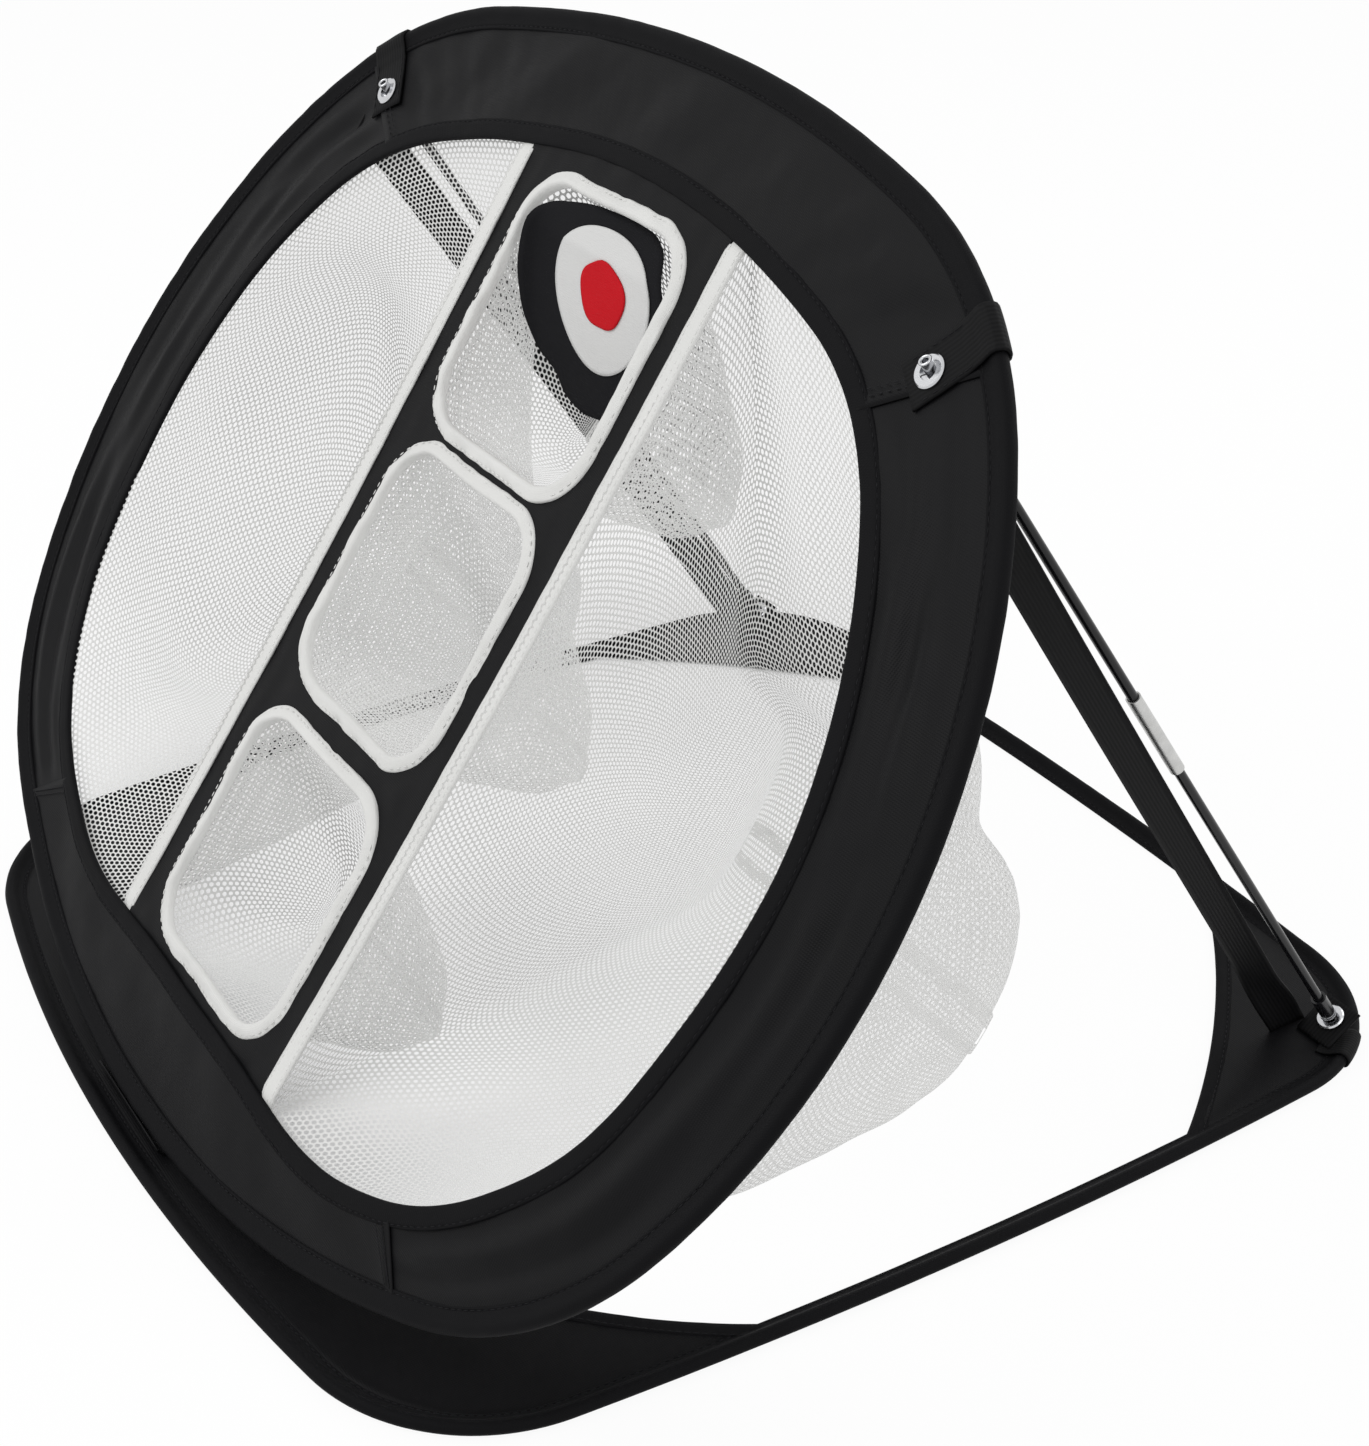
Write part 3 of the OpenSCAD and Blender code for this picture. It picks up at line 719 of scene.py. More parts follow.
def linked(name: str, data: bpy.types.ID) -> bpy.types.Object:
    """A new object of that name and data, linked into the scene.

    Args:
        name: the object's name.
        data: its mesh, lamp or camera.

    Returns:
        The object.
    """
    made = bpy.data.objects.new(name, data)
    bpy.context.scene.collection.objects.link(made)
    return made


def finished_object(
    name: str,
    bm: bmesh.types.BMesh,
    finish: Finish,
    body: Body,
    node: str = "",
    thickness: float = 0.0,
    slot: str = "",
) -> bpy.types.Object:
    """Turns a bmesh into a smooth-shaded piece that rides on a body.

    Args:
        name: the piece's name.
        bm: the finished mesh, which is freed.
        finish: what it is made of.
        body: the body that it rides on.
        node: the CAD node that it replaces, if any.
        thickness: the cloth's thickness, laid evenly to both sides.
        slot: its finish slot, if it isn't the finish's own.

    Returns:
        The new piece.
    """
    mesh = bpy.data.meshes.new(name)
    bm.to_mesh(mesh)
    bm.free()
    mesh.polygons.foreach_set("use_smooth", [True] * len(mesh.polygons))
    mesh.materials.append(finish.material())
    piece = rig.ride(linked(name, mesh), body.value)
    if thickness:
        solid = piece.modifiers.new("cloth_thickness", "SOLIDIFY")
        solid.thickness, solid.offset = thickness, 0.0
    if node:
        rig.replaces(piece, node)
    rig.slot(piece, slot or finish.slot)
    return piece


def cloth_grid(
    across: int, along: int, size: Pair, place: Place, grain: Grain | None = None
) -> bmesh.types.BMesh:
    """A grid laid out flat at its cut size, then carried to its place in the object.

    Args:
        across: divisions in the first direction.
        along: divisions in the second direction.
        size: the cut size in metres, which the UV map keeps.
        place: where a point of the unit square goes.
        grain: where it lies on the flat cloth in metres, for a cut that isn't a rectangle.

    Returns:
        The mesh.
    """
    bm = bmesh.new()
    bm.loops.layers.uv.new("UVMap")
    bmesh.ops.create_grid(
        bm,
        x_segments=across,
        y_segments=along,
        size=0.5,
        matrix=Matrix.Translation((0.5, 0.5, 0)),
        calc_uvs=True,
    )
    uv = bm.loops.layers.uv.active
    for face in bm.faces:
        for loop in face.loops:
            u, v = loop.vert.co.x, loop.vert.co.y
            loop[uv].uv = grain(u, v) if grain else (u * size[0], v * size[1])
    for vert in bm.verts:
        vert.co = place(vert.co.x, vert.co.y)
    return bm


def flat_area(bm: bmesh.types.BMesh) -> float:
    """Area of the flat cut that a cloth grid was laid out from, in square metres, read from its UV map.

    Args:
        bm: a grid as cloth_grid made it.

    Returns:
        The area.
    """
    uv = bm.loops.layers.uv.active
    total = 0.0
    for face in bm.faces:
        corners = [loop[uv].uv for loop in face.loops]
        total += abs(sum(a.cross(b) for a, b in zip(corners, corners[1:] + corners[:1]))) / 2
    return total


def swept(bm: bmesh.types.BMesh) -> bmesh.types.BMesh:
    """Closes a grid that was rolled into a tube, and turns its faces outwards.

    Args:
        bm: the grid, which is changed.

    Returns:
        The same grid.
    """
    bmesh.ops.remove_doubles(bm, verts=bm.verts, dist=1e-6)
    bmesh.ops.recalc_face_normals(bm, faces=bm.faces)
    return bm


def profile_point(outline: Sequence[Pair], share: float) -> Pair:
    """A point on a closed outline given by its corners, at a share of the way round.

    Args:
        outline: its corners.
        share: 0 at the first corner, on to 1.

    Returns:
        The point.
    """
    spot = (share % 1.0) * len(outline)
    i, t = int(spot), spot - int(spot)
    return mixed(outline[i % len(outline)], outline[(i + 1) % len(outline)], t)


def stitch_row(
    name: str, path: Callable[[float], Vector], length: float, thread: Finish, body: Body, slot: str
) -> None:
    """A row of lockstitches: short rounded threads, each dipping into the cloth at its ends.

    Args:
        name: the piece's name.
        path: a point on the row at a share from 0 to 1.
        length: the row's length in metres.
        thread: its finish.
        body: the body that it rides on.
        slot: the finish slot of the cloth that it holds.
    """
    pitch, stitch, thick = 4.2 * MM, 2.9 * MM, 0.55 * MM
    count = max(2, round(length / pitch))
    bm = bmesh.new()
    bm.loops.layers.uv.new("UVMap")
    for i in range(count):
        a, b = path((i + 0.15) / count), path((i + 0.85) / count)
        turn = (b - a).to_track_quat("Z", "Y").to_matrix().to_4x4()
        place = Matrix.Translation((a + b) / 2) @ turn @ Matrix.Diagonal((thick, thick, stitch, 1))
        bmesh.ops.create_uvsphere(
            bm, u_segments=6, v_segments=4, radius=0.5, matrix=place, calc_uvs=True
        )
    finished_object(name, bm, thread, body, slot=slot)


@dataclass(frozen=True)
class Spot:
    """A place on a path with the directions of a cross-section there."""

    origin: Vector
    out: Vector
    up: Vector


def sweep_outline(
    name: str,
    node: str,
    outline: Sequence[Pair],
    path: Callable[[float], Spot],
    length: float,
    finish: Finish,
    body: Body,
    closed: bool = True,
    pucker: float = 0.25 * MM,
    step: float = 4 * MM,
    seed: float = 0.0,
) -> None:
    """Runs a closed cross-section along a path, with the small puckers that stitching leaves.

    Args:
        name: the piece's name.
        node: the CAD node that it replaces.
        outline: corners of the cross-section, (out, up) in millimetres.
        path: the place and directions at a share from 0 to 1.
        length: the path's length in metres.
        finish: what the piece is made of.
        body: the body that it rides on.
        closed: whether the path comes back to its start.
        pucker: height of the puckers in metres.
        step: spacing of the cross-sections in metres.
        seed: makes this piece's puckers its own.
    """
    around = sum(math.dist(a, b) * MM for a, b in zip(outline, (*outline[1:], outline[0])))

    def place(u: float, v: float) -> Vector:
        along = u % 1.0 if closed else u
        spot, run = path(along), along * length
        x, y = profile_point(outline, v)
        swell = wave(run / (9 * MM), 3 * (v % 1.0), seed=seed) + wave(run / (34 * MM), seed=seed + 5)
        swell *= pucker
        reach = min(1, math.hypot(x - outline[0][0], y) / 4)
        rise = y * MM + swell * min(1.0, abs(y)) * (1 if y > 0 else -0.3)
        return spot.origin + spot.out * (x * MM + swell * reach * 0.5) + spot.up * rise

    bm = cloth_grid(max(8, round(length / step)), 2 * len(outline), (length, around), place)
    finished_object(name, swept(bm), finish, body, node)


def hoop_tape(
    name: str,
    node: str,
    outline: Sequence[Pair],
    hoop: Hoop,
    to_frame: Callable[[float, float, float], Vector],
    body: Body,
    stitches: tuple[float, Sequence[float]],
    seed: float,
    pucker: float = 0.25 * MM,
) -> None:
    """The folded binding tape round a hoop, and the stitches through it.

    Args:
        name: the tape's name.
        node: the CAD node that it replaces.
        outline: corners of its cross-section, (out, up) in millimetres.
        hoop: the outline that it follows.
        to_frame: carries x, y and height in the hoop's plane into the row frame.
        body: the body that it rides on.
        stitches: how far outside the outline the stitches run, and their height on each face.
        seed: makes its puckers its own.
        pucker: height of its puckers in metres.
    """

    def path(share: float) -> Spot:
        (x, y), (far_x, far_y) = hoop.at(share), hoop.at(share, 1.0)
        origin = to_frame(x, y, 0)
        return Spot(origin, to_frame(far_x, far_y, 0) - origin, to_frame(x, y, 1) - origin)

    sweep_outline(name, node, outline, path, hoop.length, BLACK_BINDING, body, pucker=pucker, seed=seed)
    out, heights = stitches
    for height, tail in zip(heights, ("stitches", "stitches_behind")):
        stitch_row(
            name.replace("tape", tail),
            lambda s, height=height: to_frame(*hoop.at(s, out), height),
            hoop.length,
            BLACK_THREAD,
            body,
            "black_binding",
        )


def on_ground(x: float, y: float, z: float) -> Vector:
    """Row-frame point of a place over the ground."""
    return Vector((x, y, z))


def line_side(x0: float, y0: float, degrees: float) -> Callable[[float, float], float]:
    """A function of x and y that changes sign across the line through a point at an angle."""
    a = math.radians(degrees)
    return lambda x, y: (x - x0) * math.sin(a) - (y - y0) * math.cos(a)


def slack(x: float, up: float) -> float:
    """How far the cloth inside the opening sags behind the panel's plane, in metres.

    Args:
        x: distance to the right of the centre line.
        up: distance up the panel.

    Returns:
        The distance.
    """
    rise = (up - 270 * MM) / (240 * MM)
    spread = x / (290 * MM)
    return -4.5 * MM * max(0.0, 1 - rise * rise) * max(0.0, 1 - spread * spread)


def punch(bm: bmesh.types.BMesh, centre: Vector, radius: float) -> None:
    """Cuts the hole under an eyelet's flange, and pulls its edge round.

    Args:
        bm: the mesh to cut.
        centre: the hole's middle.
        radius: the hole's radius in metres.
    """
    inside = [f for f in bm.faces if (f.calc_center_median() - centre).length < radius]
    bmesh.ops.delete(bm, geom=inside, context="FACES")
    for vert in bm.verts:
        away = vert.co - centre
        if vert.is_boundary and 0 < away.length < radius * 1.5:
            vert.co = centre + away.normalized() * radius


def webbing(
    name: str, bm: bmesh.types.BMesh, body: Body, node: str = "", thickness: float = WEBBING_T
) -> bpy.types.Object:
    """Finishes a grid as black webbing, with its faces turned outwards."""
    bmesh.ops.recalc_face_normals(bm, faces=bm.faces)
    return finished_object(name, bm, BLACK_WEBBING, body, node, thickness)


# ---------------------------------------------------------------- front panel


@dataclass
class FrontPanel:
    """The leaning oval panel: its two tapes, the four sewn bands and the top tabs."""

    seam_low: tuple[float, float, float] = (216 * MM, 61 * MM, -46.0)
    seam_high: tuple[float, float, float] = (222 * MM, 478 * MM, 38.0)
    band_w: float = 66 * MM
    lap: float = 5 * MM
    tuck: Pair = (4 * MM, -9 * MM)  # how far a band reaches out past the opening and in past the hoop
    eye: Pair = (233.014 * MM, 489.05 * MM)
    eyelet_hole: float = 4.7 * MM
    stitch_lift: float = 1.3 * MM
    tab_heading: float = math.radians(143.6)
    tab_w: float = 23 * MM
    tab_length: float = 92 * MM
    tab_curve: float = 216 * MM

    sleeve_outline = (
        (-12, -1.2), (-11, -1.5), (-10.5, -1.15), (-10, -1.55), (-8.4, -2.0), (-7, -2.5), (-5.6, -3.1),
        (-4.2, -3.5), (-2.6, -3.45), (-1.2, -2.7), (-0.25, -1.4), (0, 0), (-0.25, 1.4), (-1.2, 2.7),
        (-2.6, 3.45), (-4.2, 3.5), (-5.6, 3.1), (-7, 2.5), (-8.4, 2.0), (-10, 1.55), (-10.5, 1.15),
        (-11, 1.5), (-12, 1.2),
    )  # fmt: skip
    binding_outline = (
        (0, 0), (0.4, -1.2), (1.4, -1.6), (5, -1.6), (8.4, -1.5), (8.9, -1.15), (9.4, -1.4), (10.3, -0.9),
        (10.3, 0.9), (9.4, 1.4), (8.9, 1.15), (8.4, 1.5), (5, 1.6), (1.4, 1.6), (0.4, 1.2),
    )  # fmt: skip

    def edges(self) -> None:
        """The tape round the hoop's spring and the one over the bands' inner edge."""
        faces = (self.stitch_lift, -self.stitch_lift)
        for name, node, outline, hoop, out, seed in (
            ("front_sleeve_tape", "front_hoop_sleeve", self.sleeve_outline, FRONT_HOOP, -10.5 * MM, 1.5),
            ("opening_tape", "opening_binding", self.binding_outline, OPENING, 8.9 * MM, 8.2),
        ):
            hoop_tape(name, node, outline, hoop, on_panel, Body.PANEL, (out, faces), seed)

    def seam_shares(self) -> dict[str, Pair]:
        """Where each seam meets the opening and the hoop, as shares of the way round.

        Returns:
            The shares round the opening and round the hoop, for each seam.
        """
        low, high = line_side(*self.seam_low), line_side(*self.seam_high)
        return {
            "low": (OPENING.share_where(low, 0.04, 0.25), FRONT_HOOP.share_where(low, 0.04, 0.25)),
            "high": (OPENING.share_where(high, 0.25, 0.47), FRONT_HOOP.share_where(high, 0.25, 0.47)),
        }

    def drape(self, band: Band, x: float, up: float, run: float, share: float) -> float:
        """Height of the cloth's soft folds in front of the panel's plane.

        Args:
            band: which band it is.
            x: distance from the centre line.
            up: distance up the panel.
            run: distance along the band.
            share: 0 at the opening and 1 at the hoop.

        Returns:
            The height in metres.
        """
        held = math.sin(math.pi * min(1.0, max(0.0, share))) ** 0.7
        if band is Band.TOP:
            slant = x * 0.75 - up * 0.66
            folds = 3.4 * wave(slant / (34 * MM), (x * 0.66 + up * 0.75) / (95 * MM), seed=2.1)
            corner = 2.8 * crease(abs(x), 190 * MM, 60 * MM) * wave(run / (17 * MM), share * 1.2, seed=6.3)
            return held * (folds + corner + 0.5 * wave(x / (12 * MM), up / (16 * MM))) * MM
        if band is not Band.BOTTOM:
            pleats = 3.2 * wave(share * 4.4, run / (120 * MM), seed=3.4 + (x > 0))
            pull = 2.0 * smooth(300 * MM, 430 * MM, up) * wave(share * 6.0, run / (60 * MM), seed=9.0)
            return held * (pleats + pull + 0.4 * wave(run / (15 * MM), share * 3)) * MM
        pulls = 2.2 * wave((x * 0.8 + up) / (48 * MM), (x - up) / (110 * MM), seed=4.7)
        return held * (pulls + 0.35 * wave(x / (14 * MM), up / (18 * MM), seed=1.0)) * MM

    def band(self, band: Band, inner: Pair, outer: Pair) -> None:
        """One of the four cloth pieces between the opening and the hoop.

        Args:
            band: which band it is.
            inner: shares round the opening where it starts and ends.
            outer: shares round the hoop where it starts and ends.
        """
        lapped = band in (Band.TOP, Band.BOTTOM)
        near_run, far_run = abs(inner[1] - inner[0]), abs(outer[1] - outer[0])
        length = (near_run * OPENING.length + far_run * FRONT_HOOP.length) / 2
        spare = self.lap / length if lapped else 0.0

        def cut(u: float, v: float) -> Pair:
            t = u * (1 + 2 * spare) - spare
            near = OPENING.at(inner[0] + (inner[1] - inner[0]) * t, self.tuck[0])
            return mixed(near, FRONT_HOOP.at(outer[0] + (outer[1] - outer[0]) * t, self.tuck[1]), v)

        def place(u: float, v: float) -> Vector:
            t = u * (1 + 2 * spare) - spare
            x, up = cut(u, v)
            over = 0.0
            if lapped:
                over = 1.1 * MM * (1 - smooth(0, 2.4 * self.lap / length, min(t + spare, 1 + spare - t)))
            calm = smooth(0.0, 30 * MM / length, min(t, 1 - t))
            return on_panel(x, up, self.drape(band, x, up, t * length, v) * calm + over)

        bm = cloth_grid(round(length / (4 * MM)), 24, (length, self.band_w), place, cut)
        for side in Side:
            punch(bm, on_panel(side.value * self.eye[0], self.eye[1], 0), self.eyelet_hole)
        area, node = flat_area(bm), f"band_{band.value}"
        piece = finished_object(f"{node}_cloth", bm, BLACK_CLOTH, Body.PANEL, node, CLOTH_T)
        held_by = ["front_sleeve_tape", "opening_tape"]
        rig.sheet(piece, flat=(length, area / length), held="stretched", rests_on=held_by)

    def seam(self, side: Side, which: str, shares: Pair) -> None:
        """The two stitch rows that hold a lapped seam, low or high, between bands.

        Args:
            side: which half it is on.
            which: low or high.
            shares: where it meets the opening and the hoop.
        """
        t_in, t_out = (s if side is Side.RIGHT else -s for s in shares)
        for number, shift in enumerate((-1.6 * MM, 1.8 * MM)):

            def path(s: float, shift: float = side.value * shift) -> Vector:
                near = OPENING.at(t_in + shift / OPENING.length, 10 * MM)
                far = FRONT_HOOP.at(t_out + shift / FRONT_HOOP.length, -12 * MM)
                return on_panel(*mixed(near, far, s), 1.75 * MM)

            name = f"band_seam_{which}_{side.tag}_{number + 1}"
            stitch_row(name, path, 50 * MM, BLACK_THREAD, Body.PANEL, "black_cloth")

    def bands(self) -> None:
        """All four bands and the seams between them."""
        shares = self.seam_shares()
        (low_in, low_out), (high_in, high_out) = shares["low"], shares["high"]
        self.band(Band.TOP, (high_in, 1 - high_in), (high_out, 1 - high_out))
        self.band(Band.BOTTOM, (-low_in, low_in), (-low_out, low_out))
        self.band(Band.RIGHT, (low_in, high_in), (low_out, high_out))
        self.band(Band.LEFT, (-low_in, -high_in), (-low_out, -high_out))
        for side in Side:
            for which, pair in shares.items():
                self.seam(side, which, pair)

    def tab(self, side: Side) -> None:
        """Webbing sewn over the hoop's corner, with the eyelet through it.

        Args:
            side: which half it is on.
        """
        out = Vector((math.sin(self.tab_heading), -math.cos(self.tab_heading)))
        along = Vector((-out.y, out.x))
        root = Vector(self.eye) + 32 * MM * out
        course = (
            (-43, 1.5), (-32, 1.4), (-22, 1.5), (-15.5, 1.6), (-12.6, 2.3), (-9, 3.0), (-6, 4.0),
            (-3.5, 4.5), (-1.2, 4.0), (0.7, 2.2), (1.2, 0.0), (0.7, -2.2), (-1.2, -4.0), (-3.5, -4.5),
            (-6, -4.0), (-9, -3.0), (-13, -2.0), (-18, -1.5), (-25, -1.3),
        )  # fmt: skip

        def place(u: float, v: float) -> Vector:
            spot = min(v, 0.9999) * (len(course) - 1)
            i, t = int(spot), spot - int(spot)
            t = t * t * (3 - 2 * t) * 0.35 + t * 0.65
            x, height = (c * MM for c in mixed(course[i], course[i + 1], t))
            wide = self.tab_w * (u - 0.5)
            flat = root + out * x + along * wide
            lift = 0.35 * MM * wave(x / (9 * MM), wide / (11 * MM), seed=side.value * 3.0)
            curve = wide * wide / (2 * self.tab_curve) if height > 0 or x > -9 * MM else 0.0
            flat -= out * curve
            return on_panel(side.value * flat.x, flat.y, height + lift * (1 if height > 0 else -1))

        bm = cloth_grid(12, 54, (self.tab_w, self.tab_length), place)
        punch(bm, on_panel(side.value * self.eye[0], self.eye[1], 1.4 * MM), self.eyelet_hole)
        webbing(f"top_tab_webbing_{side.tag}", bm, Body.PANEL, f"top_tab_{side.tag}")
        for number, wide in enumerate((-9.8 * MM, 9.8 * MM)):
            stitch_row(
                f"top_tab_stitches_{side.tag}_{number + 1}",
                lambda s, u=0.5 + wide / self.tab_w: place(u, 0.02 + 0.18 * s) + PANEL_NORMAL * 0.7 * MM,
                30 * MM,
                BLACK_THREAD,
                Body.PANEL,
                "black_webbing",
            )

    def build(self) -> None:
        """Makes the whole panel but its nets and windows."""
        self.edges()
        self.bands()
        for side in Side:
            self.tab(side)


@dataclass(frozen=True)
class RoundedWindow:
    """A window's outline: a rounded rectangle, run counter-clockwise from its lower left."""

    width: float = 128 * MM
    height: float = 124 * MM
    radius: float = 26 * MM

    @cached_property
    def length(self) -> float:
        """Length of the outline in metres."""
        return 2 * (self.width + self.height - 4 * self.radius) + 2 * math.pi * self.radius

    def at(self, share: float, out: float = 0.0) -> Pair:
        """A point at a share of the way round, moved outwards by out metres.

        Args:
            share: 0 to 1, from the left end of the lower edge.
            out: how far outside the outline the point lies, in metres.

        Returns:
            x and y from the window's middle.
        """
        run = (share % 1.0) * self.length
        w, h, r = self.width / 2 - self.radius, self.height / 2 - self.radius, self.radius
        for start, step, centre in (
            ((-w, -h - r), (1, 0), (w, -h)),
            ((w + r, -h), (0, 1), (w, h)),
            ((w, h + r), (-1, 0), (-w, h)),
            ((-w - r, h), (0, -1), (-w, -h)),
        ):
            edge = 2 * (w if step[0] else h)
            normal = (step[1], -step[0])
            if run <= edge:
                x, y = (start[i] + step[i] * run + normal[i] * out for i in range(2))
                return x, y
            run -= edge
            if run <= r * math.pi / 2:
                a = math.atan2(normal[1], normal[0]) + run / r
                return centre[0] + (r + out) * math.cos(a), centre[1] + (r + out) * math.sin(a)
            run -= r * math.pi / 2
        return self.at(0.0, out)

    def gap(self, x: float, y: float) -> float:
        """Distance outside the outline of a point, negative inside it.

        Args:
            x: distance to the right of the window's middle.
            y: distance above it.

        Returns:
            The distance in metres.
        """
        qx = abs(x) - self.width / 2 + self.radius
        qy = abs(y) - self.height / 2 + self.radius
        return math.hypot(max(qx, 0), max(qy, 0)) + min(max(qx, qy), 0) - self.radius


WINDOW = RoundedWindow()
WINDOW_UP = {"top": 426.5 * MM, "middle": 285 * MM, "bottom": 136 * MM}


@dataclass
class CentreColumn:
    """The black column down the middle with its three rimmed windows and white edge tapes."""

    half: float = 86 * MM
    cut_length: float = 470 * MM
    tape_w: float = 10 * MM
    tape_length: float = 462 * MM
    tape_lap: float = 1 * MM
    tuck: float = 4 * MM
    rim_outline = (
        (0.6, -2.1), (3.5, -2.2), (6.4, -2.0), (7.2, -0.9), (7.5, 0.5), (7.1, 1.3), (6.0, 1.9), (4.6, 2.5),
        (2.8, 3.1), (1.1, 3.2), (0.1, 2.0), (-0.1, 0),
    )  # fmt: skip

    def ends(self, x: float) -> Pair:
        """How far up the panel the column starts and ends at that x, tucked under the opening's tape.

        Args:
            x: distance to the right of the centre line.

        Returns:
            The two distances up the panel, in metres.
        """
        side = -1 if x < 0 else 1
        low = OPENING.share_where(lambda px, _: px - abs(x), 0.0, 0.2)
        high = OPENING.share_where(lambda px, _: px - abs(x), 0.35, 0.5)
        return OPENING.at(side * low, self.tuck)[1], OPENING.at(side * high, self.tuck)[1]

    def cloth(self) -> None:
        """The column's cloth, cut out behind the window rims."""
        reach = round(self.half / MM)
        ends = {x: self.ends(x * MM) for x in range(-reach, reach + 1)}

        def place(u: float, v: float) -> Vector:
            x = (u - 0.5) * 2 * self.half
            low, high = ends[round(x / MM)]
            return Vector((x, low + (high - low) * v, 0))

        size = (2 * self.half, self.cut_length)
        bm = cloth_grid(86, 236, size, place)
        for up in WINDOW_UP.values():
            middles = ((face, face.calc_center_median()) for face in bm.faces)
            hole = [face for face, spot in middles if WINDOW.gap(spot.x, spot.y - up) < 3 * MM]
            bmesh.ops.delete(bm, geom=hole, context="FACES")
        for vert in bm.verts:
            x, up = vert.co.x, vert.co.y
            rim = min(WINDOW.gap(x, up - w) for w in WINDOW_UP.values())
            free = smooth(0, 14 * MM, rim - 6 * MM)
            lift = 0.8 * wave(x / (16 * MM), up / (30 * MM), seed=2.6) * free * MM
            vert.co = on_panel(x, up, slack(x, up) + lift)
        area = flat_area(bm)
        name, node = "centre_column_cloth", "centre_column"
        piece = finished_object(name, bm, BLACK_CLOTH, Body.PANEL, node, CLOTH_T)
        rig.sheet(piece, flat=size, held="stretched", rests_on=["opening_tape"], area=area)

    def tape(self, side: Side) -> None:
        """The white woven tape that joins the column to a side net.

        Args:
            side: which half it is on.
        """
        inner, outer = self.half - self.tape_lap, self.half + self.tape_w
        reach = range(round(inner / MM), round(outer / MM) + 1)
        ends = {x: self.ends(side.value * x * MM) for x in reach}

        def place(u: float, v: float) -> Vector:
            x = inner + (self.tape_w + self.tape_lap) * u
            low, high = ends[round(x / MM)]
            up = low + (high - low) * v
            wobble = 0.8 * MM * wave(up / (70 * MM), seed=side.value * 2.0)
            lift = 0.7 * MM + 0.4 * MM * math.sin(math.pi * u) + 0.3 * MM * wave(up / (11 * MM), u * 2)
            lift -= 2.4 * MM * (1 - smooth(0.0, 0.022, min(v, 1 - v)))
            return on_panel(side.value * (x + wobble), up, slack(x, up) + lift)

        bm = cloth_grid(6, 150, (self.tape_w, self.tape_length), place)
        name, node = f"column_tape_woven_{side.tag}", f"column_tape_{side.tag}"
        finished_object(name, bm, WHITE_TAPE, Body.PANEL, node, WEBBING_T)
        for number, share in enumerate((0.16, 0.84)):
            stitch_row(
                f"column_tape_stitches_{side.tag}_{number + 1}",
                lambda s, share=share: place(share, 0.01 + 0.98 * s) + PANEL_NORMAL * 0.65 * MM,
                455 * MM,
                WHITE_THREAD,
                Body.PANEL,
                "white_tape",
            )

    def rim(self, name: str, up: float) -> None:
        """The padded white rim sewn round one window.

        Args:
            name: the window's name.
            up: how far up the panel the window's middle is.
        """

        def path(share: float) -> Spot:
            stray = 1.6 * MM * wave(share * 9, up * 30, seed=up * 70)
            x, y = WINDOW.at(share, stray)
            far_x, far_y = WINDOW.at(share, stray + 1 * MM)
            origin = on_panel(x, up + y, slack(x, up + y))
            out = (on_panel(far_x, up + far_y, slack(x, up + y)) - origin) / MM
            return Spot(origin, out, PANEL_NORMAL.copy())

        sweep_outline(
            f"window_rim_piping_{name}",
            f"window_rim_{name}",
            self.rim_outline,
            path,
            WINDOW.length,
            WHITE_PIPING,
            Body.PANEL,
            pucker=1.0 * MM,
            step=2.5 * MM,
            seed=up * 40,
        )
        stitch_row(
            f"window_rim_stitches_{name}",
            lambda s: path(s).origin + path(s).out * 6.0 * MM + PANEL_NORMAL * 2.1 * MM,
            WINDOW.length,
            WHITE_THREAD,
            Body.PANEL,
            "white_piping",
        )

    def build(self) -> None:
        """Makes the column, its tapes and its rims."""
        self.cloth()
        for side in Side:
            self.tape(side)
        for name, up in WINDOW_UP.items():
            self.rim(name, up)


# ---------------------------------------------------------------- nets


def along_chain(chain: Sequence[Pair], share: float) -> Pair:
    """A point at a share of an open chain's length, with its corners eased.

    Args:
        chain: its corners.
        share: 0 at the first corner and 1 at the last.

    Returns:
        The point.
    """
    runs = [math.dist(a, b) for a, b in zip(chain, chain[1:])]
    total = sum(runs)

    def sharp(s: float) -> Pair:
        left = min(1.0, max(0.0, s)) * total
        for run, a, b in zip(runs, chain, chain[1:]):
            if left <= run or run is runs[-1]:
                return mixed(a, b, min(1.0, left / run))
            left -= run
        return chain[-1]

    ease = 0.045 * smooth(0, 0.06, min(share, 1 - share))
    points = [sharp(share + k * ease) for k in (-1, -0.5, 0, 0.5, 1)]
    return sum(p[0] for p in points) / 5, sum(p[1] for p in points) / 5


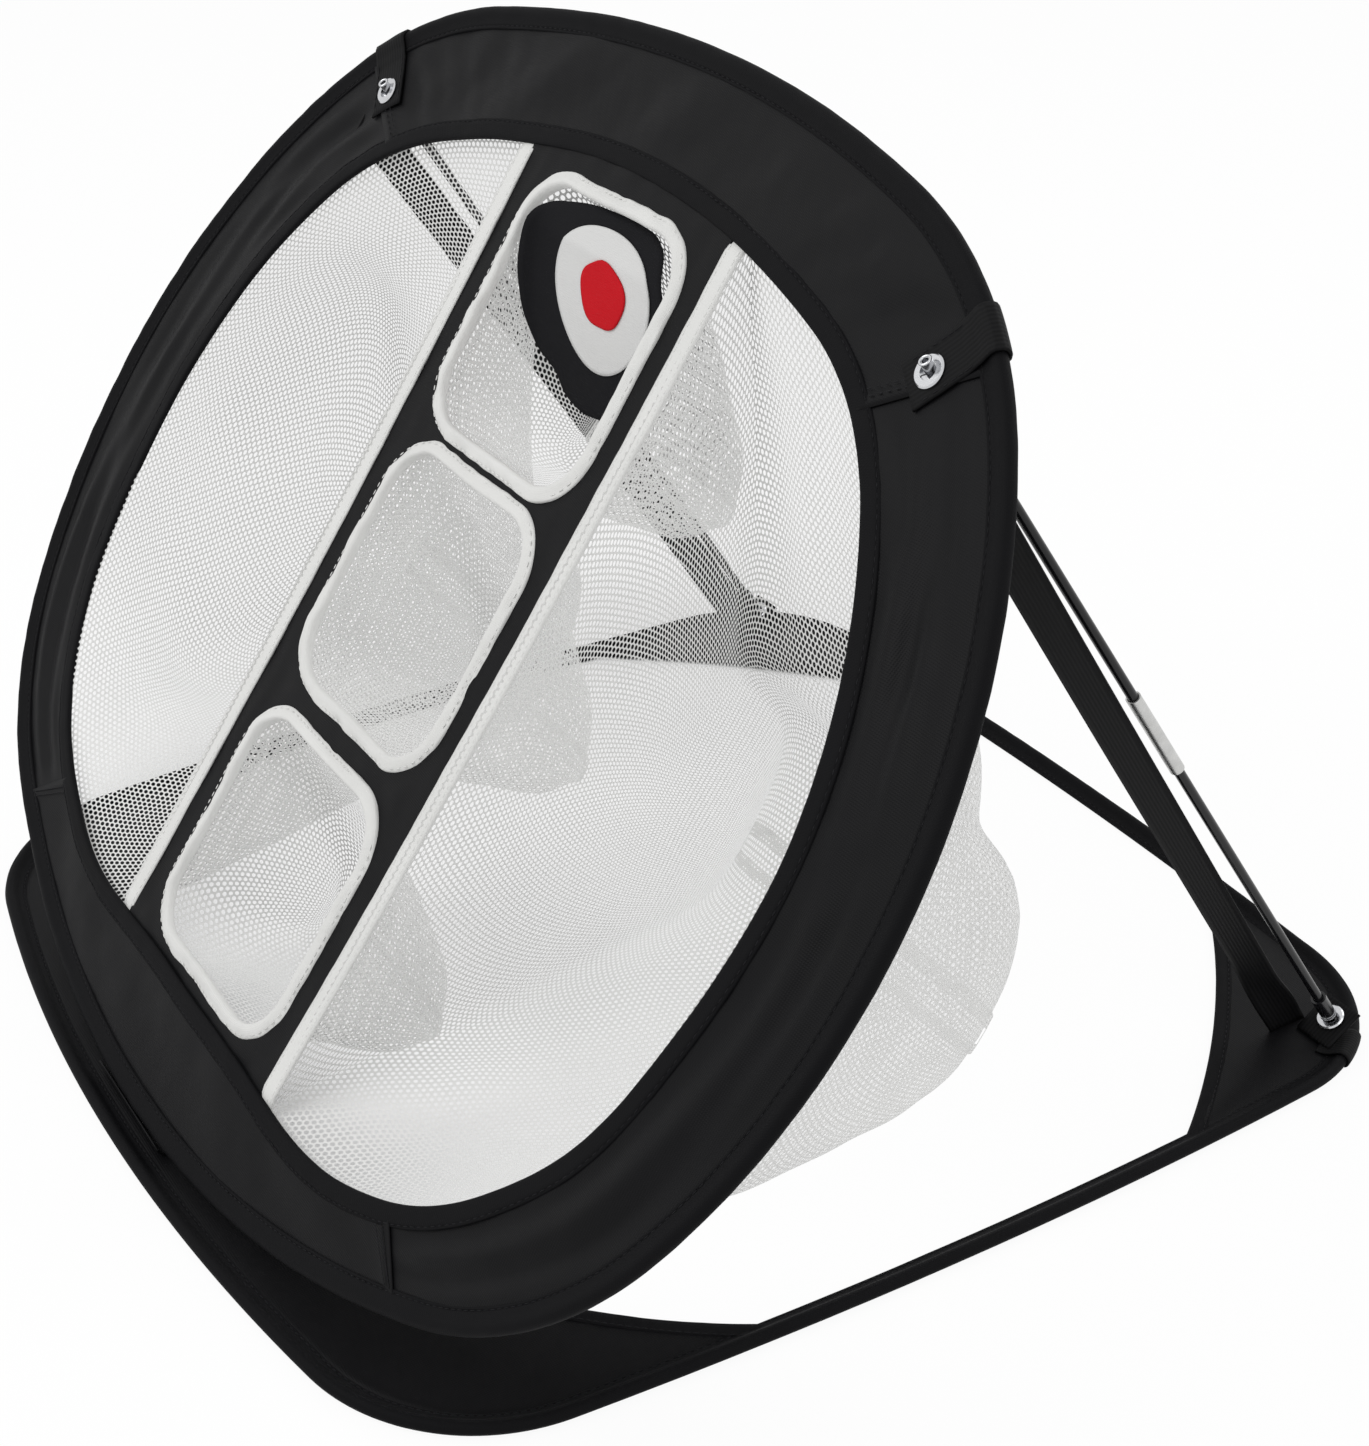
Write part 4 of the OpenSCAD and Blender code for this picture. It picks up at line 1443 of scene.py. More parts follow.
@dataclass(frozen=True)
class NetBag:
    """A knitted bag, lofted from its rim to the seam that closes its back.

    The chains are (up the panel, behind the panel) in millimetres, from the rim to the seam.
    """

    name: str
    node: str
    upper: tuple[Pair, ...]
    lower: tuple[Pair, ...]
    rim: Callable[[float], Pair]
    back: Callable[[float], Pair]
    cut: Pair
    fold: float
    keep: float
    seed: float = 0.0
    sides: Pair = (0.0, 0.0)
    step: float = 5 * MM

    def place(self, u: float, v: float, lift: float = 0.0) -> Vector:
        """The point at a share of the rim and a share of the depth, lifted outwards by lift.

        Args:
            u: share of the way round the rim.
            v: 0 at the rim and 1 at the seam that closes the back.
            lift: distance outside the bag, in metres.

        Returns:
            The point in the row frame.
        """
        x, t = mixed(self.rim(u), self.back(u), smooth(0.0, 0.55, v))
        up, behind = mixed(along_chain(self.lower, v), along_chain(self.upper, v), t)
        spot = on_panel(x, up * MM, -behind * MM)
        held = smooth(0.0, 0.2, v) * (0.35 + 0.65 * smooth(0.0, 0.15, 1 - v))
        gather = Vector(
            (
                wave(spot.z / 0.19, spot.y / 0.10, spot.x / 0.075, seed=self.seed),
                wave(spot.z / 0.23, spot.x / 0.085, spot.y / 0.12, seed=self.seed + 11),
                wave(spot.x / 0.12, spot.y / 0.12, seed=self.seed + 23) * 0.7,
            )
        )
        small = Vector(
            (
                wave(spot.z / 0.07, spot.y / 0.035, spot.x / 0.03, seed=self.seed + 31),
                wave(spot.z / 0.07, spot.x / 0.035, spot.y / 0.03, seed=self.seed + 37),
                0.0,
            )
        )
        away = Vector((2 * (x - sum(self.sides) / 2), 0, 0))
        outwards = (away.normalized() if away.length > 0 else away) - PANEL_NORMAL * v
        return spot + (gather * self.fold + small * self.fold * 0.3) * held + outwards * lift

    def seam(self, name: str, share: float, width: float) -> None:
        """A doubled strip of net round the bag, where its panels are sewn together.

        Args:
            name: the piece's name.
            share: how deep it runs, from 0 at the rim to 1.
            width: its width in metres.
        """
        half = width / 2 / self.cut[1]

        def place(u: float, v: float) -> Vector:
            return self.place(u, share + (2 * v - 1) * half, 0.9 * MM)

        bm = cloth_grid(150, 4, (self.cut[0] * (1 - 0.4 * share), width), place)
        self.dress(finished_object(name, bm, NET_HEM, Body.PANEL))

    def dress(self, piece: bpy.types.Object) -> None:
        """Marks a piece as net that flattens when the panel folds down and lets the light through.

        Args:
            piece: the piece of net.
        """
        piece.visible_shadow = False
        piece.visible_diffuse = False
        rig.squash(piece, "panel_fold", PANEL_NORMAL, on_panel(0, 0, 0), self.keep)

    def build(self) -> None:
        columns, rows = (round(size / self.step) for size in self.cut)
        bm = cloth_grid(columns, rows, self.cut, self.place)
        bmesh.ops.remove_doubles(bm, verts=bm.verts, dist=1e-6)
        area, flat = sum(face.calc_area() for face in bm.faces), self.cut[0] * self.cut[1]
        LOG.info("%s: %.3f square metres on a cut of %.3f", self.name, area, flat)
        piece = finished_object(self.name, bm, NET, Body.PANEL, self.node)
        self.dress(piece)
        share = min(1.0, max(0.3, area / flat))
        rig.sheet(piece, flat=self.cut, held="hung", rests_on=["opening_tape"], area=share * flat)


@dataclass
class Nets:
    """The three pocket nets and the two big side nets."""

    pocket_depth: float = 96.0
    side_depth: float = 190.0
    inner_x: float = 92 * MM
    back_x: float = 279 * MM

    def pocket(self, name: str, up: float) -> NetBag:
        """The net bag behind one window.

        Args:
            name: the window's name.
            up: how far up the panel the window's middle is.

        Returns:
            The bag.
        """
        half, deep, mid = 66.0, self.pocket_depth, up / MM
        upper, lower = (
            tuple((mid + half * a, 2.3 + deep * b) for a, b in chain)
            for chain in (
                ((1, 0), (0.55, 0.48), (0, 0.9), (-0.55, 1)),
                ((-1, 0), (-0.97, 0.45), (-0.9, 0.84), (-0.55, 1)),
            )
        )

        def loop(share: float, shrink: float = 1.0) -> Pair:
            x, y = WINDOW.at(share, 4 * MM)
            return shrink * x, (y / MM + half) / (2 * half)

        return NetBag(
            f"pocket_net_knitted_{name}",
            f"pocket_net_{name}",
            upper,
            lower,
            rim=loop,
            back=lambda share: loop(share, 0.9),
            cut=(470 * MM, 128 * MM),
            fold=4.5 * MM,
            keep=0.2,
            seed=mid * 0.13,
        )

    def side(self, side: Side) -> NetBag:
        """The deep net behind one half of the opening.

        Args:
            side: which half it is on.

        Returns:
            The bag.
        """
        upper, lower = (
            tuple((a, b * self.side_depth) for a, b in chain)
            for chain in (
                ((510, 0), (342, 0.62), (329, 0.87), (304, 0.94), (256, 0.96)),
                ((52, 0), (168, 0.67), (200, 0.87), (222, 0.95), (256, 0.96)),
            )
        )
        low = OPENING.share_where(lambda x, _: x - self.inner_x, 0.0, 0.2)
        high = OPENING.share_where(lambda x, _: x - self.inner_x, 0.35, 0.5)
        bottom, top = OPENING.at(low)[1], OPENING.at(high)[1]
        curve = (high - low) * OPENING.length
        arc = curve / (curve + top - bottom)

        def rim(share: float) -> Pair:
            share %= 1.0
            if share <= arc:
                x, y = OPENING.at(low + (high - low) * share / arc, -1 * MM)
            else:
                x, y = self.inner_x, top + (bottom - top) * (share - arc) / (1 - arc)
            return side.value * x, (y - bottom) / (top - bottom)

        def back(share: float) -> Pair:
            share %= 1.0
            near, wide = self.inner_x + 4 * MM, self.back_x
            corners = (
                (0.0, (near, 0.0)), (0.2, (wide, 0.0)), (arc - 0.2, (wide, 1.0)), (arc, (near, 1.0)),
                (1.0, (near, 0.0)),
            )  # fmt: skip
            total, count = Vector((0.0, 0.0)), 5
            for k in range(count):
                spot = (share + (k - 2) * 0.012) % 1.0
                for (a, start), (b, end) in zip(corners, corners[1:]):
                    if a <= spot <= b:
                        total += Vector(mixed(start, end, (spot - a) / (b - a)))
                        break
            return side.value * total.x / count, total.y / count

        return NetBag(
            f"side_net_knitted_{side.tag}",
            f"side_net_{side.tag}",
            upper,
            lower,
            rim,
            back,
            cut=(1080 * MM, 335 * MM),
            fold=9 * MM,
            keep=0.13,
            seed=side.value * 7.7,
            sides=(side.value * self.inner_x, side.value * self.back_x),
        )

    def build(self) -> None:
        """Makes all five bags, each with the strip of net over the seam at its back."""
        for name, up in WINDOW_UP.items():
            bag = self.pocket(name, up)
            bag.build()
            bag.seam(f"pocket_net_seam_{name}", 0.93, 5 * MM)
        for side in Side:
            bag = self.side(side)
            bag.build()
            bag.seam(f"side_net_back_seam_{side.tag}", 0.97, 9 * MM)


# ---------------------------------------------------------------- target


@dataclass
class Target:
    """Black cloth with a white ring and a red centre, hung by its top edge in the top pocket."""

    middle: tuple[float, float, float] = (-2.6, 451.9, -18.0)
    lean: float = math.radians(29.6)
    turn: float = math.radians(7.1)
    outline = (
        (-46, 33), (-20, 40.5), (6, 43), (28, 42), (37, 35), (40, 23), (44, 14), (45, -4), (42, -24),
        (34, -42), (22, -54), (9, -57), (-9, -60), (-24, -56), (-32, -47), (-47, -41), (-61, -27),
        (-67, -8), (-65, 10), (-58, 25),
    )  # fmt: skip

    def place(self, x: float, y: float, lift: float) -> Vector:
        """Row-frame point of a place on the target's own plane, in millimetres.

        Args:
            x: distance to the right of the target's middle.
            y: distance above it.
            lift: height over its plane.

        Returns:
            The point in the row frame, in metres.
        """
        free = smooth(40, 10, y)
        out = lift + 1.8 * wave(x / 46, y / 60, seed=4.0) * free
        lap = smooth(-40, -70, x) ** 2  # the left edge turns forwards against the pocket's wall
        side = self.middle[0] + x * math.cos(self.turn) + 11 * lap
        up = self.middle[1] + y * math.cos(self.lean) - out * math.sin(self.lean)
        slope = min(y, 18) + 0.35 * max(0, y - 18)  # the sewn top edge hangs straighter
        front = self.middle[2] + slope * math.sin(self.lean) + out * math.cos(self.lean)
        return on_panel(side * MM, up * MM, (front - x * math.sin(self.turn) + 8 * lap) * MM)

    def disc(
        self,
        name: str,
        node: str,
        edge: Callable[[float], Pair],
        centre: Pair,
        hole: float,
        lift: float,
        finish: Finish,
    ) -> bpy.types.Object:
        """A round or irregular layer of the target.

        Args:
            name: the piece's name.
            node: the CAD node that it replaces.
            edge: a point of its edge at a share of the way round.
            centre: the middle that its grid runs out from.
            hole: share of the way out at which the layer starts.
            lift: height over the black cloth, in millimetres.
            finish: its cloth.

        Returns:
            The piece.
        """

        def flat(u: float, v: float) -> Pair:
            return mixed(centre, edge(u), hole + (1 - hole) * v)

        def cut(u: float, v: float) -> Pair:
            x, y = flat(u, v)
            return x * MM, y * MM

        bm = cloth_grid(96, 14, (1, 1), lambda u, v: self.place(*flat(u, v), lift), cut)
        return finished_object(name, swept(bm), finish, Body.PANEL, node, 0.6 * MM)

    def build(self) -> None:
        """Makes the three layers."""

        def cut_edge(share: float) -> Pair:
            points = [profile_point(self.outline, share + k * 0.012) for k in (-1, 0, 1)]
            return sum(p[0] for p in points) / 3, sum(p[1] for p in points) / 3

        def ring_edge(share: float) -> Pair:
            a = 2 * math.pi * share
            r = 35.5 + 1.0 * math.sin(2 * a + 0.6) + 1.1 * math.sin(3 * a)
            return r * math.cos(a), r * math.sin(a)

        def centre_edge(share: float) -> Pair:
            a = 2 * math.pi * share
            r = 16.6 + 1.1 * math.sin(2 * a + 1.0) + 0.5 * math.sin(5 * a)
            return 2 + r * math.cos(a), 2 + r * math.sin(a)

        cloth = self.disc("target_black_layer", "target_cloth", cut_edge, (0, 0), 0.0, 0.4, TARGET_BLACK)
        size = (116 * MM, 101 * MM)
        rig.sheet(cloth, flat=size, held="hung", rests_on=["pocket_net_knitted_top"], area=0.0090)
        self.disc("target_white_layer", "target_white_ring", ring_edge, (2, 2), 0.3, 1.25, TARGET_WHITE)
        self.disc("target_red_layer", "target_centre", centre_edge, (2, 2), 0.0, 2.0, TARGET_RED)


# ---------------------------------------------------------------- ground frame


@dataclass
class GroundFrame:
    """The hoop on the ground with its front apron, corner panels, tabs, straps and fold gusset."""

    apron_radius: float = 328 * MM
    apron_y: float = FOLD_Y + 352 * MM
    corner_radius: float = 617.4 * MM
    corner_centre: Pair = (-225.9 * MM, -204.6 * MM)
    eye: tuple[float, float, float] = LOWER_EYE
    sheet_z: float = 1.8 * MM
    tuck: float = -9 * MM  # where the cloth ends inside the hoop's sleeve
    run: Pair = (-0.56231, 0.82692)
    strap_x: float = 249.21 * MM
    strap_w: float = 20 * MM
    strap_length: float = 460 * MM
    strap_turns: tuple[tuple[Side, float], ...] = ((Side.LEFT, 0.1), (Side.RIGHT, 1.0))

    sleeve_outline = (
        (-12, 0.15), (-11, 0.12), (-10.4, 0.2), (-9.8, 0.12), (-8, 0.1), (-5.5, 0.08), (-3.4, 0.05),
        (-1.7, 0.55), (-0.5, 1.8), (0, 3.5), (-0.5, 5.2), (-1.7, 6.5), (-3.4, 7.0), (-5, 6.6), (-6.4, 5.3),
        (-7.6, 3.9), (-9, 3.2), (-9.9, 3.0), (-10.5, 2.5), (-11.1, 2.8), (-12, 2.3),
    )  # fmt: skip
    hem_outline = (
        (0, 1.2), (0.5, 0.9), (8, 2.0), (8.3, 2.6), (7.6, 3.4), (6.4, 3.1), (3, 3.5), (0.8, 3.2), (0, 2.4),
    )  # fmt: skip
    turn_course = (
        (-17, 3.2), (-13, 3.4), (-10.5, 4.2), (-8, 5.6), (-5.6, 7.4), (-3.2, 8.0), (-1, 7.2), (0.6, 5.2),
        (0.9, 3.2), (0.3, 1.4), (-0.8, 0.6), (-1.6, 0.7),
    )  # fmt: skip

    def ripple(self, x: float, y: float, seed: float) -> float:
        """Height of the ground cloth's shallow ripples."""
        broad, small = wave(x / 0.09, y / 0.06, seed=seed), wave(x / 0.03, y / 0.035, seed=seed)
        return 0.7 * MM * (1 + broad + 0.5 * small)

    def between(self, arc: Grain, hoop: Callable[[float], float]) -> Grain:
        """A flat cut between an inner arc and the ground hoop.

        Args:
            arc: a point of the inner arc at a share along it and a distance in from it.
            hoop: the share round the hoop that faces it.

        Returns:
            A function from a share along the piece and a share out to x and y.
        """

        return lambda u, v: mixed(arc(u, 0.0), GROUND_HOOP.at(hoop(u), self.tuck), v)

    def cloth(self, name: str, node: str, cut: Grain, size: Pair, seed: float) -> None:
        """A cloth panel on the ground.

        Args:
            name: the piece's name.
            node: the CAD node that it replaces.
            cut: its flat shape.
            size: length and greatest width of the cut in metres.
            seed: makes its ripples its own.
        """

        def place(u: float, v: float) -> Vector:
            x, y = cut(u, v)
            held = math.sin(math.pi * min(1.0, max(0.0, v)))
            return on_ground(x, y, self.sheet_z + held * self.ripple(x, y, seed))

        bm = cloth_grid(round(size[0] / (5 * MM)), max(6, round(size[1] / (5 * MM))), size, place, cut)
        width = flat_area(bm) / size[0]
        piece = finished_object(name, bm, BLACK_CLOTH, Body.BASE, node, CLOTH_T)
        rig.sheet(piece, flat=(size[0], width), held="stretched", rests_on=["ground_sleeve_tape"])

    def hem(self, name: str, node: str, arc: Grain, length: float, ends: Pair, seed: float) -> None:
        """The turned hem along a panel's inner edge, with its stitches.

        Args:
            name: the piece's name.
            node: the CAD node that it replaces.
            arc: a point of the panel's inner edge at a share along it and a distance out from it.
            length: length of that edge in metres.
            ends: shares round the ground hoop that its two ends run into.
            seed: makes its puckers its own.
        """
        slants = []
        for end, share in zip(ends, (0.0, 1.0)):
            hoop = on_ground(*GROUND_HOOP.at(end + 0.001), 0) - on_ground(*GROUND_HOOP.at(end - 0.001), 0)
            out = on_ground(*arc(share, 1.0), 0) - on_ground(*arc(share, 0.0), 0)
            along = Vector((out.y, -out.x, 0))
            slants.append(max(-3.0, min(3.0, hoop.dot(along) / hoop.dot(out))))

        def path(share: float) -> Spot:
            x, y = arc(share, 0.0)
            fx, fy = arc(share, 1 * MM)
            out = on_ground(fx - x, fy - y, 0) / MM
            slant = slants[0] * smooth(0.2, 0, share) + slants[1] * smooth(0.8, 1, share)
            return Spot(on_ground(x, y, 0), out + slant * Vector((out.y, -out.x, 0)), Vector((0, 0, 1)))

        sweep_outline(
            name,
            node,
            self.hem_outline,
            path,
            length,
            BLACK_BINDING,
            Body.BASE,
            closed=False,
            pucker=0.3 * MM,
            seed=seed,
        )
        stitch_row(
            f"{name}_stitches",
            lambda s: path(0.02 + 0.96 * s).origin + path(s).out * 6.6 * MM + Vector((0, 0, 3.5 * MM)),
            length * 0.96,
            BLACK_THREAD,
            Body.BASE,
            "black_binding",
        )

    def apron(self) -> None:
        """The crescent of cloth at the front."""
        gap = self.gap_from((0.0, self.apron_y), self.apron_radius)
        edge = GROUND_HOOP.share_where(gap, 0.05, 0.25)
        ex, ey = GROUND_HOOP.at(edge, self.tuck)
        half = math.atan2(ex, self.apron_y - ey)

        def arc(share: float, out: float) -> Pair:
            a, r = half * (2 * share - 1), self.apron_radius + out
            return r * math.sin(a), self.apron_y - r * math.cos(a)

        cut = self.between(arc, lambda u: edge * (2 * u - 1))
        length = 2 * half * self.apron_radius
        self.cloth("apron_cloth", "front_apron", cut, (length, 66 * MM), 3.3)
        self.hem("apron_hem_fold", "apron_hem", arc, length, (-edge, edge), 5.5)

    def gap_from(self, centre: Pair, radius: float) -> Callable[[float, float], float]:
        """Distance outside a circle, as a function of x and y."""
        return lambda x, y: math.hypot(x - centre[0], y - centre[1]) - radius

    def corner(self, side: Side) -> None:
        """The cloth panel across a back corner.

        Args:
            side: which half it is on.
        """
        cx, cy = self.corner_centre
        gap = self.gap_from(self.corner_centre, self.corner_radius)
        first = GROUND_HOOP.share_where(gap, 0.2, 0.37)
        last = GROUND_HOOP.share_where(gap, 0.37, 0.5)
        ends = (GROUND_HOOP.at(share, self.tuck) for share in (first, last))
        turns = [math.atan2(y - cy, x - cx) for x, y in ends]

        def arc(share: float, out: float) -> Pair:
            a, r = turns[0] + (turns[1] - turns[0]) * share, self.corner_radius + out
            return side.value * (cx + r * math.cos(a)), cy + r * math.sin(a)

        tag, size = side.tag, (abs(turns[1] - turns[0]) * self.corner_radius, 90 * MM)
        cut = self.between(arc, lambda u: side.value * (first + (last - first) * u))
        self.cloth(f"corner_cloth_{tag}", f"corner_panel_{tag}", cut, size, side.value * 4.4)
        ends = (side.value * first, side.value * last)
        self.hem(f"corner_hem_fold_{tag}", f"corner_hem_{tag}", arc, size[0], ends, side.value * 6.1)

    def ribbon(self, section: Sequence[Pair], ends: Pair, seed: float) -> bmesh.types.BMesh:
        """A band of webbing or cloth that keeps one side view.

        Args:
            section: the side view, as y and z in millimetres.
            ends: x of its two edges in metres.
            seed: makes its unevenness its own.

        Returns:
            The new bmesh.
        """

        def place(u: float, v: float) -> Vector:
            y, z = along_chain(section, v)
            x = ends[0] + (ends[1] - ends[0]) * u
            return on_ground(x, y * MM, z * MM + 0.25 * MM * wave(x / (8 * MM), v * 9, seed=seed))

        length = sum(math.dist(a, b) for a, b in zip(section, section[1:])) * MM
        rows = max(12, round(length / (1.5 * MM)))
        return cloth_grid(10, rows, (abs(ends[1] - ends[0]), length), place)

    def tab(self, side: Side) -> None:
        """The corner webbing under the lower eyelet, and its turn round the hoop.

        Args:
            side: which half it is on.
        """
        x, y, z = (c / MM for c in self.eye)
        leaf = (self.run[1], -self.run[0])
        fold = (y - 13 * leaf[0], z - 13 * leaf[1])
        section = (
            (y + 4, 3.3), (y - 5, 3.2), (fold[0] - 0.6, fold[1] - 2.0), (fold[0] - 0.3, fold[1] - 0.4),
            (y, z), (y + 10 * leaf[0], z + 10 * leaf[1]),
        )  # fmt: skip
        bm = self.ribbon(section, (side.value * (x - 11) * MM, side.value * (x + 11) * MM), seed=3)
        punch(bm, on_ground(side.value * self.eye[0], self.eye[1], self.eye[2]), 4.6 * MM)
        piece = webbing(f"base_tab_webbing_{side.tag}", bm, Body.BASE, f"base_tab_{side.tag}")
        piece.parent = None
        start = on_ground(side.value * self.eye[0], fold[0] * MM, fold[1] * MM)
        end = on_ground(side.value * self.eye[0], (y - 4 * leaf[0]) * MM, (z - 4 * leaf[1]) * MM)
        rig.blend(piece, "base", f"rod_{side.tag}", start, end)

    def turn(self, side: Side) -> None:
        """Webbing sewn round the hoop beside the lower eyelet, which holds the tab down.

        Args:
            side: which half it is on.
        """
        heading = GROUND_HOOP.share_where(lambda px, py: py - self.eye[1], 0.25, 0.45)
        width = 24 * MM

        def place(u: float, v: float) -> Vector:
            share = heading + (u - 0.5) * width / GROUND_HOOP.length
            out, height = along_chain(self.turn_course, v)
            x, y = GROUND_HOOP.at(share, out * MM)
            return on_ground(side.value * x, y, height * MM)

        bm = cloth_grid(12, 30, (width, 32 * MM), place)
        webbing(f"base_tab_turn_{side.tag}", bm, Body.BASE, thickness=1.0 * MM)

    def strap(self, side: Side) -> None:
        """The flat strap from the panel's back to the ground corner, beside the rod.

        Args:
            side: which half it is on.
        """
        run = Vector(self.run)
        across = Vector((run.y, -run.x))
        foot = Vector((self.eye[1], self.eye[2])) - 16 * MM * across
        back = Vector((math.sin(LEAN), -math.cos(LEAN)))
        depth = back.dot(Vector((FOLD_Y, FOLD_Z))) + 0.9 * MM

        def place(u: float, v: float) -> Vector:
            wide = (u - 0.5) * self.strap_w
            edge = foot + wide * across
            low = edge + run * ((3.2 * MM - edge.y) / run.y)
            high = edge + run * ((depth - back.dot(edge)) / back.dot(run))
            slackness = math.sin(math.pi * v)
            turn = dict(self.strap_turns)[side] * smooth(0.0, 0.13, v) * smooth(1.0, 0.88, v)
            spot = low + (high - low) * v - wide * (1 - math.cos(turn)) * across
            stray = 0.8 * MM * wave(v * 3.1, u * 0.7, seed=side.value * 2.2)
            bow = 1.6 * MM * slackness + stray * slackness
            x = side.value * (self.strap_x - bow) + side.value * wide * math.sin(turn)
            return on_ground(x, spot.x, spot.y)

        bm = cloth_grid(8, 110, (self.strap_w, self.strap_length), place)
        piece = webbing(f"strap_webbing_{side.tag}", bm, Body.BASE, f"strap_{side.tag}")
        piece.parent = None
        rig.blend(piece, "base", "panel", place(0.5, 0.03), place(0.5, 0.97))

    def gusset(self) -> None:
        """The cloth that ties the panel's hoop to the apron along the fold."""
        y = FOLD_Y / MM
        section = (
            (y + 3.6, 3.1), (y + 0.6, 3.1), (y - 0.6, 3.4), (y - 0.5, 4.3), (y - 1.4, 4.95), (y - 2.6, 5.55),
            (y - 3.6, 6.6), (y - 4.1, 7.6), (y - 4.25, 8.2),
        )  # fmt: skip
        bm = self.ribbon(section, (-40 * MM, 40 * MM), seed=6)
        bmesh.ops.recalc_face_normals(bm, faces=bm.faces)
        finished_object("fold_gusset_cloth", bm, BLACK_CLOTH, Body.BASE, "fold_gusset", 0.9 * MM)

    def build(self) -> None:
        """Makes everything that lies on the ground, and the straps."""
        hoop_tape(
            "ground_sleeve_tape",
            "base_hoop_sleeve",
            self.sleeve_outline,
            GROUND_HOOP,
            on_ground,
            Body.BASE,
            stitches=(-10.5 * MM, (2.75 * MM,)),
            seed=12.5,
            pucker=0.12 * MM,
        )
        self.apron()
        self.gusset()
        for side in Side:
            self.corner(side)
            self.tab(side)
            self.turn(side)
            self.strap(side)


# ---------------------------------------------------------------- rods and fittings


@dataclass(frozen=True)
class FootCapPaint(Finish):
    """A black-painted crimped cap with a bare plated ring at its mouth and a dark pin."""

    name: str
    eye: tuple[float, float, float]
    run: tuple[float, float, float]
    paint: str = "#121214"
    plating: str = "#d2d3d6"
    ring: Pair = (5.8 * MM, 0.95 * MM)  # how far up the rod its middle lies, and half its length

    def build(self, tree: bpy.types.NodeTree, shader: bpy.types.Node) -> None:
        """Bares the plating on the ring by distance along the rod.

        Args:
            tree: the material's node tree.
            shader: its main shader.
        """
        where = add_node(tree, "ShaderNodeTexCoord", out="Object")
        from_eye = {"operation": "SUBTRACT", 1: self.eye}
        reach = add_node(tree, "ShaderNodeVectorMath", from_eye, {0: where})
        on_run = {"operation": "DOT_PRODUCT", 1: self.run}
        along = add_node(tree, "ShaderNodeVectorMath", on_run, {0: reach}, "Value")
        within = {"operation": "COMPARE", 1: self.ring[0], 2: self.ring[1]}
        bare = add_node(tree, "ShaderNodeMath", within, {0: along})
        tint = {"data_type": "RGBA", 6: linear(self.paint), 7: linear(self.plating)}
        colour = add_node(tree, "ShaderNodeMix", tint, {0: bare}, 2)
        fill(shader, {"Roughness": 0.25}, {"Base Color": colour, "Metallic": bare})


@dataclass
class Fittings:
    """The rods, ferrules, caps, eyelets and springs, whose shapes are final as built."""

    def foot_cap(self, side: Side) -> Finish:
        """The paint of one foot cap, set along its own rod.

        Args:
            side: which half it is on.

        Returns:
            The finish.
        """
        low, high = (Vector((side.value * p[0], p[1], p[2])) for p in (LOWER_EYE, UPPER_EYE))
        run = (high - low).normalized()
        return FootCapPaint(f"painted_foot_cap_{side.tag}", tuple(low), tuple(run))

    def build(self) -> None:
        """Gives each fitting its finish."""
        finishes: dict[str, Finish] = {"front_hoop_spring": SPRING, "base_hoop_spring": SPRING}
        for side in Side:
            finishes |= {
                f"top_eyelet_{side.tag}": CHROME,
                f"base_eyelet_{side.tag}": CHROME,
                f"rod_top_cap_{side.tag}": CHROME,
                f"rod_foot_cap_{side.tag}": self.foot_cap(side),
                f"rod_ferrule_{side.tag}": FERRULE,
                f"rod_lower_{side.tag}": ROD,
                f"rod_upper_{side.tag}": ROD,
            }
        for node, finish in finishes.items():
            piece = frame["nodes"][node]
            piece.data.materials.clear()
            piece.data.materials.append(finish.material())


# ---------------------------------------------------------------- studio


